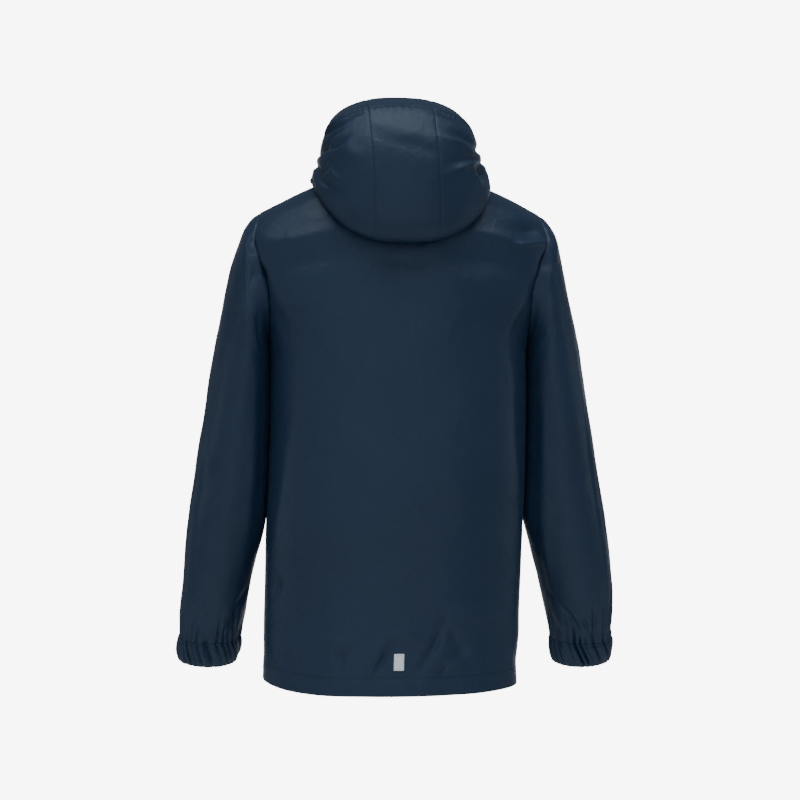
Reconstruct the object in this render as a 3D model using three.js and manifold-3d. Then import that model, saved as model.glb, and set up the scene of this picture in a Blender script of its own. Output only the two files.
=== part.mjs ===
// A child's hooded rain jacket, hollow and filled out as if worn, with the hood down.
// Millimetres, +Z up, the front towards -Y, the wearer's left at +X.
// The origin is the middle of the neck, level with the inner ends of the shoulder seams.
import * as THREE from 'three';
import { mergeVertices } from 'three/addons/utils/BufferGeometryUtils.js';
import Module from 'manifold-3d';

// Cloth and seams
const CLOTH = 1.5;
const SEAM_GAP = 0.3;
const ARMHOLE_GAP = 0.9;
const ARMHOLE_FADE = 70;
const HEM_DEPTH = 25;
const HEM_RELIEF = 0.6;

// Heights up the body, and how far the hem rises towards each side seam
const HEM_Z = -631;
const HEM_LIFT = { left: 11, right: 5, power: 4 };
const UNDERARM_Z = -215;

// Shoulder seam and neck opening
const NECK_HALF_WIDTH = 72;
const NECK_SIDE_Z = 4;
const SHOULDER_SLOPE = 0.38;
const SHOULDER_DROOP = 0.0008;
const NECK = {
  back: { reach: 60, z: -6 },
  front: { reach: 76, z: -46 },
};

// How square the body's sections are, from above and in profile
const SECTION_POWER = 0.77;
const PROFILE_POWER = 2.67;

// Sections up the body below the underarm
const BODY_SECTIONS = [
  { z: HEM_Z, halfWidth: 158, back: 107, front: 104 },
  { z: -435, halfWidth: 160, back: 105, front: 106 },
  { z: UNDERARM_Z, halfWidth: 160, back: 104, front: 105 },
];

// Sideways lean of the whole jacket with height
const LEAN = [
  { z: HEM_Z, x: 7 },
  { z: -470, x: 2.5 },
  { z: -330, x: -2.5 },
  { z: UNDERARM_Z, x: -3 },
  { z: -120, x: -3 },
  { z: -45, x: -5.5 },
  { z: 20, x: -2.5 },
  { z: 95, x: 1.5 },
];

// Armhole edge, from the underarm (climb 0) to the end of the shoulder seam (climb 1)
const ARMHOLE = [
  { climb: 0, x: 160 },
  { climb: 0.4, x: 161.5 },
  { climb: 0.62, x: 172 },
  { climb: 0.82, x: 181 },
  { climb: 1, x: 174 },
];
const ARMHOLE_HALF_DEPTH = 56;
const UNDERARM_POINT = 1.6;
// How closely the armhole's bulge keeps to its edge, at the underarm and from a share up it
const BULGE_HUG = { underarm: 3, above: 1.5, from: 0.3 };

// Soft upright folds of the body, deepest at the hem
const BODY_FOLDS = [
  { side: 1, x: -118, width: 17, depth: 4.5, top: -330 },
  { side: 1, x: -62, width: 15, depth: 2.5, top: -470 },
  { side: 1, x: 48, width: 15, depth: 3, top: -500 },
  { side: 1, x: 112, width: 17, depth: 4, top: -360 },
  { side: -1, x: -108, width: 18, depth: 5, top: -340 },
  { side: -1, x: -52, width: 14, depth: 3, top: -480 },
  { side: -1, x: 60, width: 16, depth: 3.5, top: -440 },
  { side: -1, x: 116, width: 18, depth: 4.5, top: -300 },
];

// Sleeve and cuff rings: places of the outer and the under line, half depth from front to back,
// how far the ring is carried forward, and how far its back edge tips down
const SLEEVE_RINGS = [
  { along: 0, outX: 174, outZ: -43, underX: 160, underZ: -215, depth: 56, forward: 0, tilt: 0 },
  { along: 14, outX: 184, outZ: -52, underX: 162.5, underZ: -219, depth: 57, forward: 0, tilt: 0 },
  { along: 31, outX: 193.5, outZ: -66, underX: 161, underZ: -223, depth: 58, forward: 0, tilt: 0 },
  { along: 55, outX: 201, outZ: -89, underX: 160.9, underZ: -229, depth: 59, forward: 0, tilt: 0 },
  { along: 88, outX: 209, outZ: -121, underX: 160.9, underZ: -237, depth: 60, forward: 0, tilt: 0 },
  { along: 127, outX: 217, outZ: -159, underX: 160.9, underZ: -249, depth: 60, forward: 0, tilt: 0 },
  { along: 172, outX: 226, outZ: -203, underX: 160.9, underZ: -266, depth: 58, forward: 0, tilt: 0 },
  { along: 227, outX: 235, outZ: -257, underX: 160.9, underZ: -296, depth: 54, forward: 0, tilt: 0 },
  { along: 291, outX: 245, outZ: -321, underX: 160.9, underZ: -342, depth: 50, forward: 1, tilt: 2 },
  { along: 355, outX: 255, outZ: -384, underX: 161.4, underZ: -394, depth: 46, forward: 5, tilt: 5 },
  { along: 416, outX: 264, outZ: -444, underX: 166, underZ: -444, depth: 44, forward: 13, tilt: 9 },
  { along: 471, outX: 268.5, outZ: -499, underX: 179, underZ: -494, depth: 42, forward: 25, tilt: 13 },
  { along: 511, outX: 271, outZ: -539, underX: 188, underZ: -534, depth: 38, forward: 35, tilt: 15 },
  { along: 543, outX: 271, outZ: -571, underX: 194.5, underZ: -570, depth: 31, forward: 43, tilt: 17 },
  { along: 571, outX: 272, outZ: -600, underX: 197, underZ: -602, depth: 28, forward: 51, tilt: 18 },
];
// How far each sleeve's outer and under lines lie aside of those places, towards the wearer's
// left, and how much lower the right sleeve hangs
const SLEEVE_SWAY = [
  { along: 0, leftOut: 0, leftUnder: 0, rightOut: 0, rightUnder: 0, rightDrop: 0 },
  { along: 320, leftOut: 0, leftUnder: 0, rightOut: 0, rightUnder: 0, rightDrop: 0 },
  { along: 400, leftOut: -1, leftUnder: 3, rightOut: -2, rightUnder: 0, rightDrop: 0 },
  { along: 455, leftOut: -2, leftUnder: 1, rightOut: -5.5, rightUnder: 0.5, rightDrop: 2 },
  { along: 511, leftOut: -0.5, leftUnder: -1, rightOut: -5.5, rightUnder: -2, rightDrop: 4 },
  { along: 543, leftOut: 0, leftUnder: 0, rightOut: -5.5, rightUnder: -4, rightDrop: 5 },
  { along: 571, leftOut: 1, leftUnder: 2, rightOut: -5.5, rightUnder: -5, rightDrop: 5 },
];
const CUFF_START = 543;
const CUFF_END = 571;
const CUFF_PUFF = 2;
const GATHERS = 24;
const GATHER_DEPTH = 1.7;
const GATHER_REACH = { shortest: 22, longest: 58, scatter: 2.4, first: 1 };
const GATHER_SLANT = 0.35;

// Hood rings, from the neck seam over the lower fold and up to the opening edge.
// Each gives its half width at the side and towards the front, and the reach and height of its
// back, side and front points.
const HOOD_RINGS = [
  { along: 0, halfWidth: 72, frontWidth: 72, power: 1, backY: 60, sideY: 0, frontY: -76,
    backZ: -5, sideZ: 5, frontZ: -45, backEase: 2, frontEase: 2 },
  { along: 0.16, halfWidth: 90, frontWidth: 76, power: 0.9, backY: 84, sideY: 8, frontY: -78,
    backZ: -56, sideZ: 0, frontZ: -40, backEase: 1.4, frontEase: 3 },
  { along: 0.32, halfWidth: 108, frontWidth: 80, power: 0.8, backY: 105, sideY: 26, frontY: -80,
    backZ: -86, sideZ: -6, frontZ: -35, backEase: 1.2, frontEase: 4 },
  { along: 0.45, halfWidth: 111, frontWidth: 78, power: 0.8, backY: 124, sideY: 30, frontY: -82,
    backZ: -68, sideZ: -2, frontZ: -30, backEase: 1.2, frontEase: 4 },
  { along: 0.6, halfWidth: 105, frontWidth: 74, power: 0.8, backY: 129, sideY: 34, frontY: -84,
    backZ: -18, sideZ: 14, frontZ: -24, backEase: 1.2, frontEase: 4 },
  { along: 0.75, halfWidth: 98, frontWidth: 70, power: 0.8, backY: 121, sideY: 36, frontY: -86,
    backZ: 36, sideZ: 30, frontZ: -17, backEase: 1.2, frontEase: 4 },
  { along: 0.88, halfWidth: 94, frontWidth: 67, power: 0.8, backY: 98, sideY: 36, frontY: -88,
    backZ: 76, sideZ: 45, frontZ: -11, backEase: 1.2, frontEase: 3.5 },
  { along: 1, halfWidth: 87, frontWidth: 65, power: 0.8, backY: 66, sideY: 31, frontY: -90,
    backZ: 93, sideZ: 57, frontZ: -5, backEase: 1.2, frontEase: 3 },
];
const HOOD_SEAM_X = 40;
// The hood's underside rests on the body: its least height over it, and how far outside it
// the cloth keeps at the neck seam and from a share of the way to the fold
const HOOD_REST = { above: 1.6, atNeck: 1.6, beyond: 4, from: 0.16 };
const TUNNEL = { start: 0.93, step: 0.01, relief: 0.9 };

// Large folds of the hood, each a trough across its sides: where it is along and round the hood,
// how long and wide it is, and how it slopes
const HOOD_FOLDS = [
  { round: 62, along: 0.86, length: 34, width: 0.05, slope: 0.0016, depth: 6 },
  { round: 70, along: 0.74, length: 30, width: 0.05, slope: -0.0012, depth: 7 },
  { round: 76, along: 0.6, length: 26, width: 0.06, slope: 0.002, depth: 6 },
  { round: -58, along: 0.8, length: 36, width: 0.05, slope: -0.0014, depth: 6 },
  { round: -68, along: 0.68, length: 34, width: 0.05, slope: 0.001, depth: 7 },
  { round: -80, along: 0.56, length: 24, width: 0.07, slope: 0.002, depth: 8 },
];

// Zip, exposed up the centre of the front to the top of the hood's chin. Heights are measured
// out from the face of the front panels.
const ZIP_OPENING = 5;
const TAPE = { halfWidth: 9, parting: 0.2, face: -2.5, thickness: 1, start: -629, end: 2.98,
  curve: 120 };
const CHAIN = { halfWidth: 2.6, face: 0.2, thickness: 2.4, start: -618.5, end: 2.86 };
const SLIDER = { halfWidth: 4.5, innerHalfWidth: 3.1, length: 12, floor: 0.5, top: 2.1, skirt: -1.9,
  chamfer: 0.6 };
const SLIDER_PLACE = 2.7;
const BAIL = { width: 2, length: 9.4, bar: 1.1, hollow: 2.6, sunk: 0.5 };
const HINGE_HEIGHT = 3.4;
const PULL = { width: 7, length: 27, thickness: 1.3, bar: 0.65, eyeWidth: 3.4, eyeLength: 5.6,
  corner: 2, eyeCorner: 0.8 };
const BOX = { width: 9, length: 10.5, base: -2, top: 1.4, corner: 1.5, start: -629.5 };

// Reflective tab above the back hem
const TAB = { width: 12, height: 20, thickness: 1, x: -1.6, z: -589.5 };

// Colours, roughness and metalness
const NAVY = { color: 0x1b2a3d, roughness: 0.42, metalness: 0 };
const NAVY_TRIM = { color: 0x16202f, roughness: 0.55, metalness: 0 };
const SILVER_CLOTH = { color: 0xb9c6d2, roughness: 0.35, metalness: 0.3 };
const DARK_METAL = { color: 0x2a2d31, roughness: 0.35, metalness: 0.8 };

// How short the steps are that find a surface's direction, and how near its ends they go
const NUDGE = 1e-3;
const EDGE_TURN = 89;
const EDGE_RISE = 1.98;

const DEGREE = Math.PI / 180;
const { lerp, clamp, smoothstep } = THREE.MathUtils;
const signedPower = (value, power) => Math.sign(value) * Math.abs(value) ** power;
const steps = (from, to, count) =>
  Array.from({ length: count + 1 }, (_, i) => lerp(from, to, i / count));

// Reads every column of a table at one place between its rows, as a smooth curve through them
function readTable(rows, key, place) {
  const last = rows.length - 1;
  const spot = clamp(place, rows[0][key], rows[last][key]);
  let i = 0;
  while (i < last - 1 && spot > rows[i + 1][key]) i += 1;
  const span = rows[i + 1][key] - rows[i][key];
  const t = (spot - rows[i][key]) / span;
  const result = {};
  for (const column of Object.keys(rows[0])) {
    const slopeAt = (k) => {
      const before = rows[Math.max(k - 1, 0)];
      const after = rows[Math.min(k + 1, last)];
      return (after[column] - before[column]) / (after[key] - before[key]);
    };
    const a = rows[i][column];
    const b = rows[i + 1][column];
    result[column] = (1 + 2 * t) * (1 - t) ** 2 * a + t * (1 - t) ** 2 * span * slopeAt(i)
      + t * t * (3 - 2 * t) * b - t * t * (1 - t) * span * slopeAt(i + 1);
  }
  result[key] = spot;
  return result;
}

const leanAt = (z) => readTable(LEAN, 'z', z).x;

// Outward direction of a surface, from two short steps along it
function outward(surface, a, b, limits) {
  const a0 = clamp(a, limits.a[0], limits.a[1]);
  const b0 = clamp(b, limits.b[0], limits.b[1]);
  const alongA = surface(a0 + NUDGE, b0).sub(surface(a0 - NUDGE, b0));
  const alongB = surface(a0, b0 + NUDGE).sub(surface(a0, b0 - NUDGE));
  return alongA.cross(alongB).normalize().multiplyScalar(limits.sign);
}

// Top edge of a body panel over a place x: the neckline, then the shoulder seam
function topEdge(x, half) {
  const beyond = Math.abs(x) - NECK_HALF_WIDTH;
  if (beyond >= 0) {
    return { reach: 0, z: NECK_SIDE_Z - SHOULDER_SLOPE * beyond - SHOULDER_DROOP * beyond ** 2 };
  }
  const round = 1 - (x / NECK_HALF_WIDTH) ** 2;
  return { reach: half.reach * Math.sqrt(round), z: lerp(NECK_SIDE_Z, half.z, round) };
}

// The profile is an arc over the shoulders and nearly straight up to the neck
const profileRoot = (x) =>
  lerp(1, PROFILE_POWER, smoothstep(Math.abs(x), 0, NECK_HALF_WIDTH));

// Share of the armhole's half depth at an angle up it: an egg, narrow at the underarm
const armholeShare = (angle, point) =>
  signedPower(Math.sin(angle), Math.cos(angle) > 0 ? point : 1);

// A point of the body: turn runs round a half section from side seam to side seam, in radians,
// and rise from the hem (0) by the underarm (1) to the neckline and shoulder seam (2)
function bodyPoint(turn, rise, side) {
  const half = side > 0 ? NECK.back : NECK.front;
  const across = signedPower(Math.sin(turn), SECTION_POWER);
  const roundness = signedPower(Math.cos(turn), SECTION_POWER);
  const lift = lerp(HEM_LIFT.right, HEM_LIFT.left, (across + 1) / 2);
  const hemZ = HEM_Z + lift * Math.abs(across) ** HEM_LIFT.power;
  const sectionZ = lerp(hemZ, UNDERARM_Z, Math.min(rise, 1));
  const section = readTable(BODY_SECTIONS, 'z', sectionZ);
  const depth = side > 0 ? section.back : section.front;
  if (rise <= 1) {
    const x = across * section.halfWidth + leanAt(sectionZ);
    return new THREE.Vector3(x, side * (SEAM_GAP / 2 + roundness * depth), sectionZ);
  }
  const climb = (1 - Math.cos(Math.PI * (rise - 1))) / 2;
  const plainX = across * readTable(ARMHOLE, 'climb', climb).x;
  const top = topEdge(plainX, half);
  const open = (1 - climb ** PROFILE_POWER) ** (1 / profileRoot(plainX));
  const egg = armholeShare(Math.PI * (rise - 1), UNDERARM_POINT);
  const hug = lerp(BULGE_HUG.underarm, BULGE_HUG.above, smoothstep(climb, 0, BULGE_HUG.from));
  const edgeReach = ARMHOLE_HALF_DEPTH * egg * (1 - roundness) ** hug;
  const reach = top.reach * (1 - open) + roundness * depth * open + edgeReach;
  const z = lerp(UNDERARM_Z, top.z, climb);
  return new THREE.Vector3(plainX + leanAt(z), side * (SEAM_GAP / 2 + reach), z);
}

// Height of the body's outer face over a point of the plan, near the shoulders. The climb that
// the armhole's width depends on is found by trying again from a first guess.
const HEIGHT_SEARCH = { guess: 0.9, tries: 4, widest: 0.999 };

function bodyHeight(x, y) {
  const half = y > 0 ? NECK.back : NECK.front;
  const section = BODY_SECTIONS[BODY_SECTIONS.length - 1];
  const depth = y > 0 ? section.back : section.front;
  const top = topEdge(x, half);
  let climb = HEIGHT_SEARCH.guess;
  for (let i = 0; i < HEIGHT_SEARCH.tries; i += 1) {
    const share = Math.abs(x) / readTable(ARMHOLE, 'climb', climb).x;
    const across = Math.min(share, HEIGHT_SEARCH.widest);
    const roundness = (1 - across ** (2 / SECTION_POWER)) ** (SECTION_POWER / 2);
    const open = clamp((Math.abs(y) - top.reach) / (roundness * depth - top.reach), 0, 1);
    climb = (1 - open ** profileRoot(x)) ** (1 / PROFILE_POWER);
  }
  return lerp(UNDERARM_Z, top.z, climb);
}

const bodyLimits = (side) => ({
  a: [-EDGE_TURN * DEGREE, EDGE_TURN * DEGREE],
  b: [NUDGE, EDGE_RISE],
  sign: -side,
});

// How far the body's soft folds move its cloth in or out at a point
function bodyFold(point, side) {
  let move = 0;
  for (const fold of BODY_FOLDS) {
    if (fold.side !== side) continue;
    const strength = 1 - smoothstep(point.z, HEM_Z, fold.top);
    move -= fold.depth * strength * Math.exp(-(((point.x - fold.x) / fold.width) ** 2));
  }
  return move;
}

// A point of a sleeve or cuff: turn runs round the ring from the under line by the back, along
// from the armhole to the cuff's edge. Both sleeves follow the lean of the shoulders.
function sleevePoint(turn, along, hand) {
  const ring = readTable(SLEEVE_RINGS, 'along', along);
  const sway = readTable(SLEEVE_SWAY, 'along', along);
  const climb = (1 - Math.cos(turn)) / 2;
  const first = SLEEVE_RINGS[0];
  const straight = lerp(first.underX, first.outX, climb);
  const fade = 1 - smoothstep(along, 0, ARMHOLE_FADE);
  const shaped = (readTable(ARMHOLE, 'climb', climb).x - straight) * fade;
  const reach = ring.depth * armholeShare(turn, lerp(1, UNDERARM_POINT, fade));
  const tilt = ring.tilt * DEGREE;
  const drop = hand > 0 ? 0 : sway.rightDrop;
  const z = lerp(ring.underZ, ring.outZ, climb) - reach * Math.sin(tilt) - drop;
  const aside = hand > 0
    ? lerp(sway.leftUnder, sway.leftOut, climb)
    : lerp(sway.rightUnder, sway.rightOut, climb);
  const x = hand * (lerp(ring.underX, ring.outX, climb) + shaped + ARMHOLE_GAP)
    + aside + leanAt(Math.max(z, UNDERARM_Z));
  return new THREE.Vector3(x, reach * Math.cos(tilt) - ring.forward, z);
}

const sleeveLimits = (hand) => ({
  a: [-Infinity, Infinity],
  b: [NUDGE, CUFF_END - NUDGE],
  sign: hand,
});

// Depth of the gathers: full along the cuff, and running up the sleeve by uneven lengths
function gather(turn, along) {
  const count = (turn / (2 * Math.PI)) * GATHERS;
  const wave = Math.sin(Math.round(count) * GATHER_REACH.scatter + GATHER_REACH.first);
  const uneven = (1 + wave) / 2;
  const reach = lerp(GATHER_REACH.shortest, GATHER_REACH.longest, uneven);
  const strength = smoothstep(along, CUFF_START - reach, CUFF_START);
  return GATHER_DEPTH * strength * Math.cos(count * 2 * Math.PI);
}

// A point of the hood: place is the angle round the neck from the centre back, in degrees
function hoodPoint(place, along) {
  const ring = readTable(HOOD_RINGS, 'along', along);
  const angle = place * DEGREE;
  const sine = signedPower(Math.sin(angle), ring.power);
  const cosine = Math.abs(Math.cos(angle));
  const swing = cosine ** ring.power;
  let y = lerp(ring.sideY, ring.backY, swing);
  let z = lerp(ring.sideZ, ring.backZ, cosine ** ring.backEase);
  let x = ring.halfWidth * sine;
  if (Math.abs(place) > 90) {
    y = lerp(ring.sideY, ring.frontY, swing);
    z = lerp(ring.sideZ, ring.frontZ, cosine ** ring.frontEase);
    x = lerp(ring.frontWidth, ring.halfWidth, Math.sin(angle) ** 2) * sine;
  }
  const aside = HOOD_REST.atNeck + HOOD_REST.beyond * Math.min(along / HOOD_REST.from, 1);
  const rest = bodyHeight(x, Math.sign(y) * Math.max(Math.abs(y) - aside, 0)) + HOOD_REST.above;
  return new THREE.Vector3(x + leanAt(z), y, Math.max(z, rest));
}

const HOOD_LIMITS = { a: [-179, 179], b: [NUDGE, 1 - NUDGE], sign: -1 };

// The angle round the hood at which a ring is a given distance from the middle of the garment
function hoodAngle(x, along, front) {
  const ring = readTable(HOOD_RINGS, 'along', along);
  const width = front ? ring.frontWidth : ring.halfWidth;
  const angle = Math.asin((x / width) ** (1 / ring.power)) / DEGREE;
  return front ? 180 - angle : angle;
}

// How far the hood's large folds and the tunnel's relief move its cloth
function hoodFold(place, along) {
  let move = 0;
  for (const fold of HOOD_FOLDS) {
    const aside = (place - fold.round) / fold.length;
    const across = (along - fold.along - fold.slope * (place - fold.round)) / fold.width;
    move -= fold.depth * Math.exp(-(aside ** 2) - across ** 2);
  }
  return move + TUNNEL.relief * smoothstep(along, TUNNEL.start - TUNNEL.step, TUNNEL.start);
}

// A closed wall from rows of points with their outward directions. Rows are rings when closed.
// A row may hold twice as many points as the row before it.
function wallGeometry(rows, thickness, closed) {
  const positions = [];
  const starts = rows.map((row) => {
    const start = positions.length / 3;
    for (const { point, out } of row) {
      positions.push(point.x, point.y, point.z);
      const inner = point.clone().addScaledVector(out, -thickness);
      positions.push(inner.x, inner.y, inner.z);
    }
    return start;
  });
  const triangles = [];
  const corner = (row, i, layer) => starts[row] + 2 * (i % rows[row].length) + layer;
  const face = (a, b, c) => triangles.push(a, b, c);
  const quad = (a, b, c, d) => {
    face(a, b, c);
    face(a, c, d);
  };
  for (let r = 0; r + 1 < rows.length; r += 1) {
    const cells = closed ? rows[r].length : rows[r].length - 1;
    const doubled = rows[r + 1].length === 2 * rows[r].length;
    for (let i = 0; i < cells; i += 1) {
      for (const layer of [0, 1]) {
        const turn = (list) => (layer ? list.reverse() : list);
        if (doubled) {
          const [a, b] = [corner(r, i, layer), corner(r, i + 1, layer)];
          const [c, d, e] = [0, 1, 2].map((k) => corner(r + 1, 2 * i + k, layer));
          face(...turn([a, d, c]));
          face(...turn([a, b, d]));
          face(...turn([b, e, d]));
        } else {
          quad(...turn([corner(r, i, layer), corner(r, i + 1, layer),
            corner(r + 1, i + 1, layer), corner(r + 1, i, layer)]));
        }
      }
    }
    if (!closed) {
      const end = rows[r].length - 1;
      quad(corner(r, 0, 0), corner(r + 1, 0, 0), corner(r + 1, 0, 1), corner(r, 0, 1));
      quad(corner(r, end, 1), corner(r + 1, end, 1), corner(r + 1, end, 0), corner(r, end, 0));
    }
  }
  const top = rows.length - 1;
  for (const [row, first, second] of [[0, 0, 1], [top, 1, 0]]) {
    const cells = closed ? rows[row].length : rows[row].length - 1;
    for (let i = 0; i < cells; i += 1) {
      quad(corner(row, i + 1, first), corner(row, i, first),
        corner(row, i, second), corner(row, i + 1, second));
    }
  }
  const geometry = new THREE.BufferGeometry();
  geometry.setAttribute('position', new THREE.Float32BufferAttribute(positions, 3));
  geometry.setIndex(triangles);
  return geometry;
}

// Turns every face round where the wall was built inside out
function facingOut(geometry) {
  const index = geometry.index.array;
  const position = geometry.attributes.position;
  const [a, b, c] = [0, 1, 2].map(() => new THREE.Vector3());
  let volume = 0;
  for (let i = 0; i < index.length; i += 3) {
    a.fromBufferAttribute(position, index[i]);
    b.fromBufferAttribute(position, index[i + 1]);
    c.fromBufferAttribute(position, index[i + 2]);
    volume += a.dot(b.cross(c));
  }
  if (volume < 0) {
    for (let i = 0; i < index.length; i += 3) {
      [index[i], index[i + 1]] = [index[i + 1], index[i]];
    }
  }
  geometry.computeVertexNormals();
  return geometry;
}

const jacket = new THREE.Group();

function addMesh(name, geometry, finish, parent = jacket) {
  const mesh = new THREE.Mesh(geometry, new THREE.MeshStandardMaterial(finish));
  mesh.name = name;
  parent.add(mesh);
  return mesh;
}

const addWall = (name, rows, finish, thickness = CLOTH, closed = false) =>
  addMesh(name, facingOut(wallGeometry(rows, thickness, closed)), finish);

// Columns of a body panel, as shares of the half width: even under the neck, then closer
// together towards the side, where the section is most round
const NECK_COLUMNS = 5;
const SHOULDER_COLUMNS = 7;
const SHOULDER_END_X = ARMHOLE[ARMHOLE.length - 1].x;
const NECK_SHARE = NECK_HALF_WIDTH / SHOULDER_END_X;
const COLUMNS = [
  ...steps(0, NECK_SHARE, NECK_COLUMNS),
  ...steps(1, 0, SHOULDER_COLUMNS).slice(1).map((t) => 1 - (1 - NECK_SHARE) * t * t),
];

// Rows of a body panel: the hem's double cloth, up to the underarm, then round the armhole
const HALF_RING = 12;
const LOWER_ROWS = 8;
const HEM_STEP = 0.002;
const riseAt = (z) => (z - HEM_Z) / (UNDERARM_Z - HEM_Z);
const HEM_RISE = riseAt(HEM_Z + HEM_DEPTH);
const RISES = [
  0, HEM_RISE - HEM_STEP, HEM_RISE + HEM_STEP,
  ...steps(HEM_RISE, 1, LOWER_ROWS).slice(1),
  ...steps(1, 2, HALF_RING).slice(1),
];

const turnOf = (share) => Math.asin(signedPower(share, 1 / SECTION_POWER));

function panelPoint(turn, rise, side) {
  const out = outward((a, b) => bodyPoint(a, b, side), turn, rise, bodyLimits(side));
  const point = bodyPoint(turn, rise, side);
  const hem = rise < HEM_RISE ? HEM_RELIEF : 0;
  point.addScaledVector(out, bodyFold(point, side) + hem);
  return { point, out };
}

function addBack() {
  const shares = [...COLUMNS.slice(1).reverse().map((s) => -s), ...COLUMNS];
  const rows = RISES.map((rise) => shares.map((share) => panelPoint(turnOf(share), rise, 1)));
  addWall('back', rows, NAVY);
}

function halfWidthAt(rise) {
  if (rise <= 1) {
    return readTable(BODY_SECTIONS, 'z', lerp(HEM_Z, UNDERARM_Z, rise)).halfWidth;
  }
  return readTable(ARMHOLE, 'climb', (1 - Math.cos(Math.PI * (rise - 1))) / 2).x;
}

function addFront(name, hand) {
  const rows = RISES.map((rise) => {
    const zipShare = ZIP_OPENING / halfWidthAt(rise);
    return [zipShare, ...COLUMNS.slice(1)]
      .map((share) => panelPoint(hand * turnOf(share), rise, -1));
  });
  addWall(name, rows, NAVY);
}

function sleeveWallPoint(turn, along, hand, puff = 0, gatherTurn = turn) {
  const out = outward((a, b) => sleevePoint(a, b, hand), turn, along, sleeveLimits(hand));
  const point = sleevePoint(turn, along, hand);
  point.addScaledVector(out, gather(gatherTurn, along) + puff);
  return { point, out };
}

const SLEEVE_PLACES = [0, 7, 14, 31, 55, 88, 127, 172, 227, 291, 355, 390, 416, 440, 462, 484];
const GATHERED_PLACES = [496, 510, 523, 534, CUFF_START - SEAM_GAP];
const CUFF_ROWS = 4;

const ringTurns = (count) => steps(0, 2 * Math.PI, count).slice(0, -1);

function addSleeve(name, hand) {
  const plain = SLEEVE_PLACES.map((along) => ringTurns(2 * HALF_RING)
    .map((turn) => sleeveWallPoint(turn, along, hand)));
  const gathered = GATHERED_PLACES.map((along) => ringTurns(2 * GATHERS)
    .map((turn) => sleeveWallPoint(turn, along, hand)));
  addWall(name, [...plain, ...gathered], NAVY, CLOTH, true);
}

function addCuff(name, hand) {
  const slantTurn = (GATHER_SLANT * 2 * Math.PI) / GATHERS;
  const rows = steps(0, 1, CUFF_ROWS).map((share) => ringTurns(2 * GATHERS).map((turn) => {
    const along = lerp(CUFF_START, CUFF_END, share);
    const puff = CUFF_PUFF * Math.sin(Math.PI * share);
    return sleeveWallPoint(turn + slantTurn * share, along, hand, puff, turn);
  }));
  addWall(name, rows, NAVY, CLOTH, true);
}

function hoodWallPoint(place, along) {
  const out = outward(hoodPoint, place, along, HOOD_LIMITS);
  const point = hoodPoint(place, along);
  point.addScaledVector(out, hoodFold(place, along));
  return { point, out };
}

const HOOD_CENTRE_COLUMNS = 8;
const HOOD_SIDE_COLUMNS = 14;
const HOOD_PLACES = [
  0, 0.08, 0.16, 0.24, 0.31, 0.37, 0.44, 0.51, 0.58, 0.65, 0.72, 0.79, 0.86,
  TUNNEL.start - TUNNEL.step, TUNNEL.start, 1,
];

function addHood() {
  const centre = HOOD_PLACES.map((along) => steps(-1, 1, HOOD_CENTRE_COLUMNS).map((share) => {
    const x = (HOOD_SEAM_X - SEAM_GAP / 2) * Math.abs(share);
    return hoodWallPoint(Math.sign(share) * hoodAngle(x, along, false), along);
  }));
  addWall('hood_centre', centre, NAVY);
  for (const [name, hand] of [['hood_left', 1], ['hood_right', -1]]) {
    const side = HOOD_PLACES.map((along) => {
      const seam = hoodAngle(HOOD_SEAM_X + SEAM_GAP / 2, along, false);
      const edge = hoodAngle(ZIP_OPENING, along, true);
      return steps(seam, edge, HOOD_SIDE_COLUMNS)
        .map((place) => hoodWallPoint(hand * place, along));
    });
    addWall(name, side, NAVY);
  }
}

// The line up the middle of the front: the body's first (0 to 2), then the hood's (2 to 3)
function zipFrame(place) {
  const onBody = place <= 2;
  const line = (p) => (onBody ? bodyPoint(0, p, -1) : hoodPoint(180, p - 2));
  const middle = onBody ? clamp(place, NUDGE, EDGE_RISE) : clamp(place, 2 + NUDGE, 3 - NUDGE);
  const up = line(middle + NUDGE).sub(line(middle - NUDGE)).setX(0).normalize();
  return { point: line(place), up, out: new THREE.Vector3(0, -up.z, up.y) };
}

function zipRows(start, end, columns, face) {
  const places = [riseAt(start), ...RISES.filter((rise) => rise > HEM_RISE + HEM_STEP),
    ...HOOD_PLACES.slice(2).map((along) => 2 + along).filter((place) => place < end), end];
  return places.map((place) => {
    const { point, out } = zipFrame(place);
    return columns.map((x) => ({
      point: point.clone().addScaledVector(out, face - x ** 2 / TAPE.curve)
        .add(new THREE.Vector3(x, 0, 0)),
      out,
    }));
  });
}

function addZip() {
  for (const [name, side] of [['zip_tape_left', 1], ['zip_tape_right', -1]]) {
    const columns = [side * TAPE.parting, side * TAPE.halfWidth];
    addWall(name, zipRows(TAPE.start, TAPE.end, columns, TAPE.face), NAVY_TRIM, TAPE.thickness);
  }
  const columns = [-CHAIN.halfWidth, CHAIN.halfWidth];
  const chain = zipRows(CHAIN.start, CHAIN.end, columns, CHAIN.face);
  addWall('zip_chain', chain, NAVY_TRIM, CHAIN.thickness);
}

// A group whose X is the garment's, whose Y points out of the cloth and whose Z points down
function zipGroup(place) {
  const { point, up, out } = zipFrame(place);
  const group = new THREE.Group();
  const basis = new THREE.Matrix4().makeBasis(new THREE.Vector3(1, 0, 0), out, up.negate());
  group.quaternion.setFromRotationMatrix(basis);
  group.position.copy(point);
  jacket.add(group);
  return group;
}

const polygon = (points) => new THREE.Shape(points.map(([x, y]) => new THREE.Vector2(x, y)));

function roundedPlate(width, bottom, top, corner) {
  const half = width / 2;
  const shape = new THREE.Shape();
  shape.moveTo(-half + corner, bottom);
  shape.absarc(half - corner, bottom + corner, corner, -Math.PI / 2, 0);
  shape.absarc(half - corner, top - corner, corner, 0, Math.PI / 2);
  shape.absarc(-half + corner, top - corner, corner, Math.PI / 2, Math.PI);
  shape.absarc(-half + corner, bottom + corner, corner, Math.PI, 1.5 * Math.PI);
  return shape;
}

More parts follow.
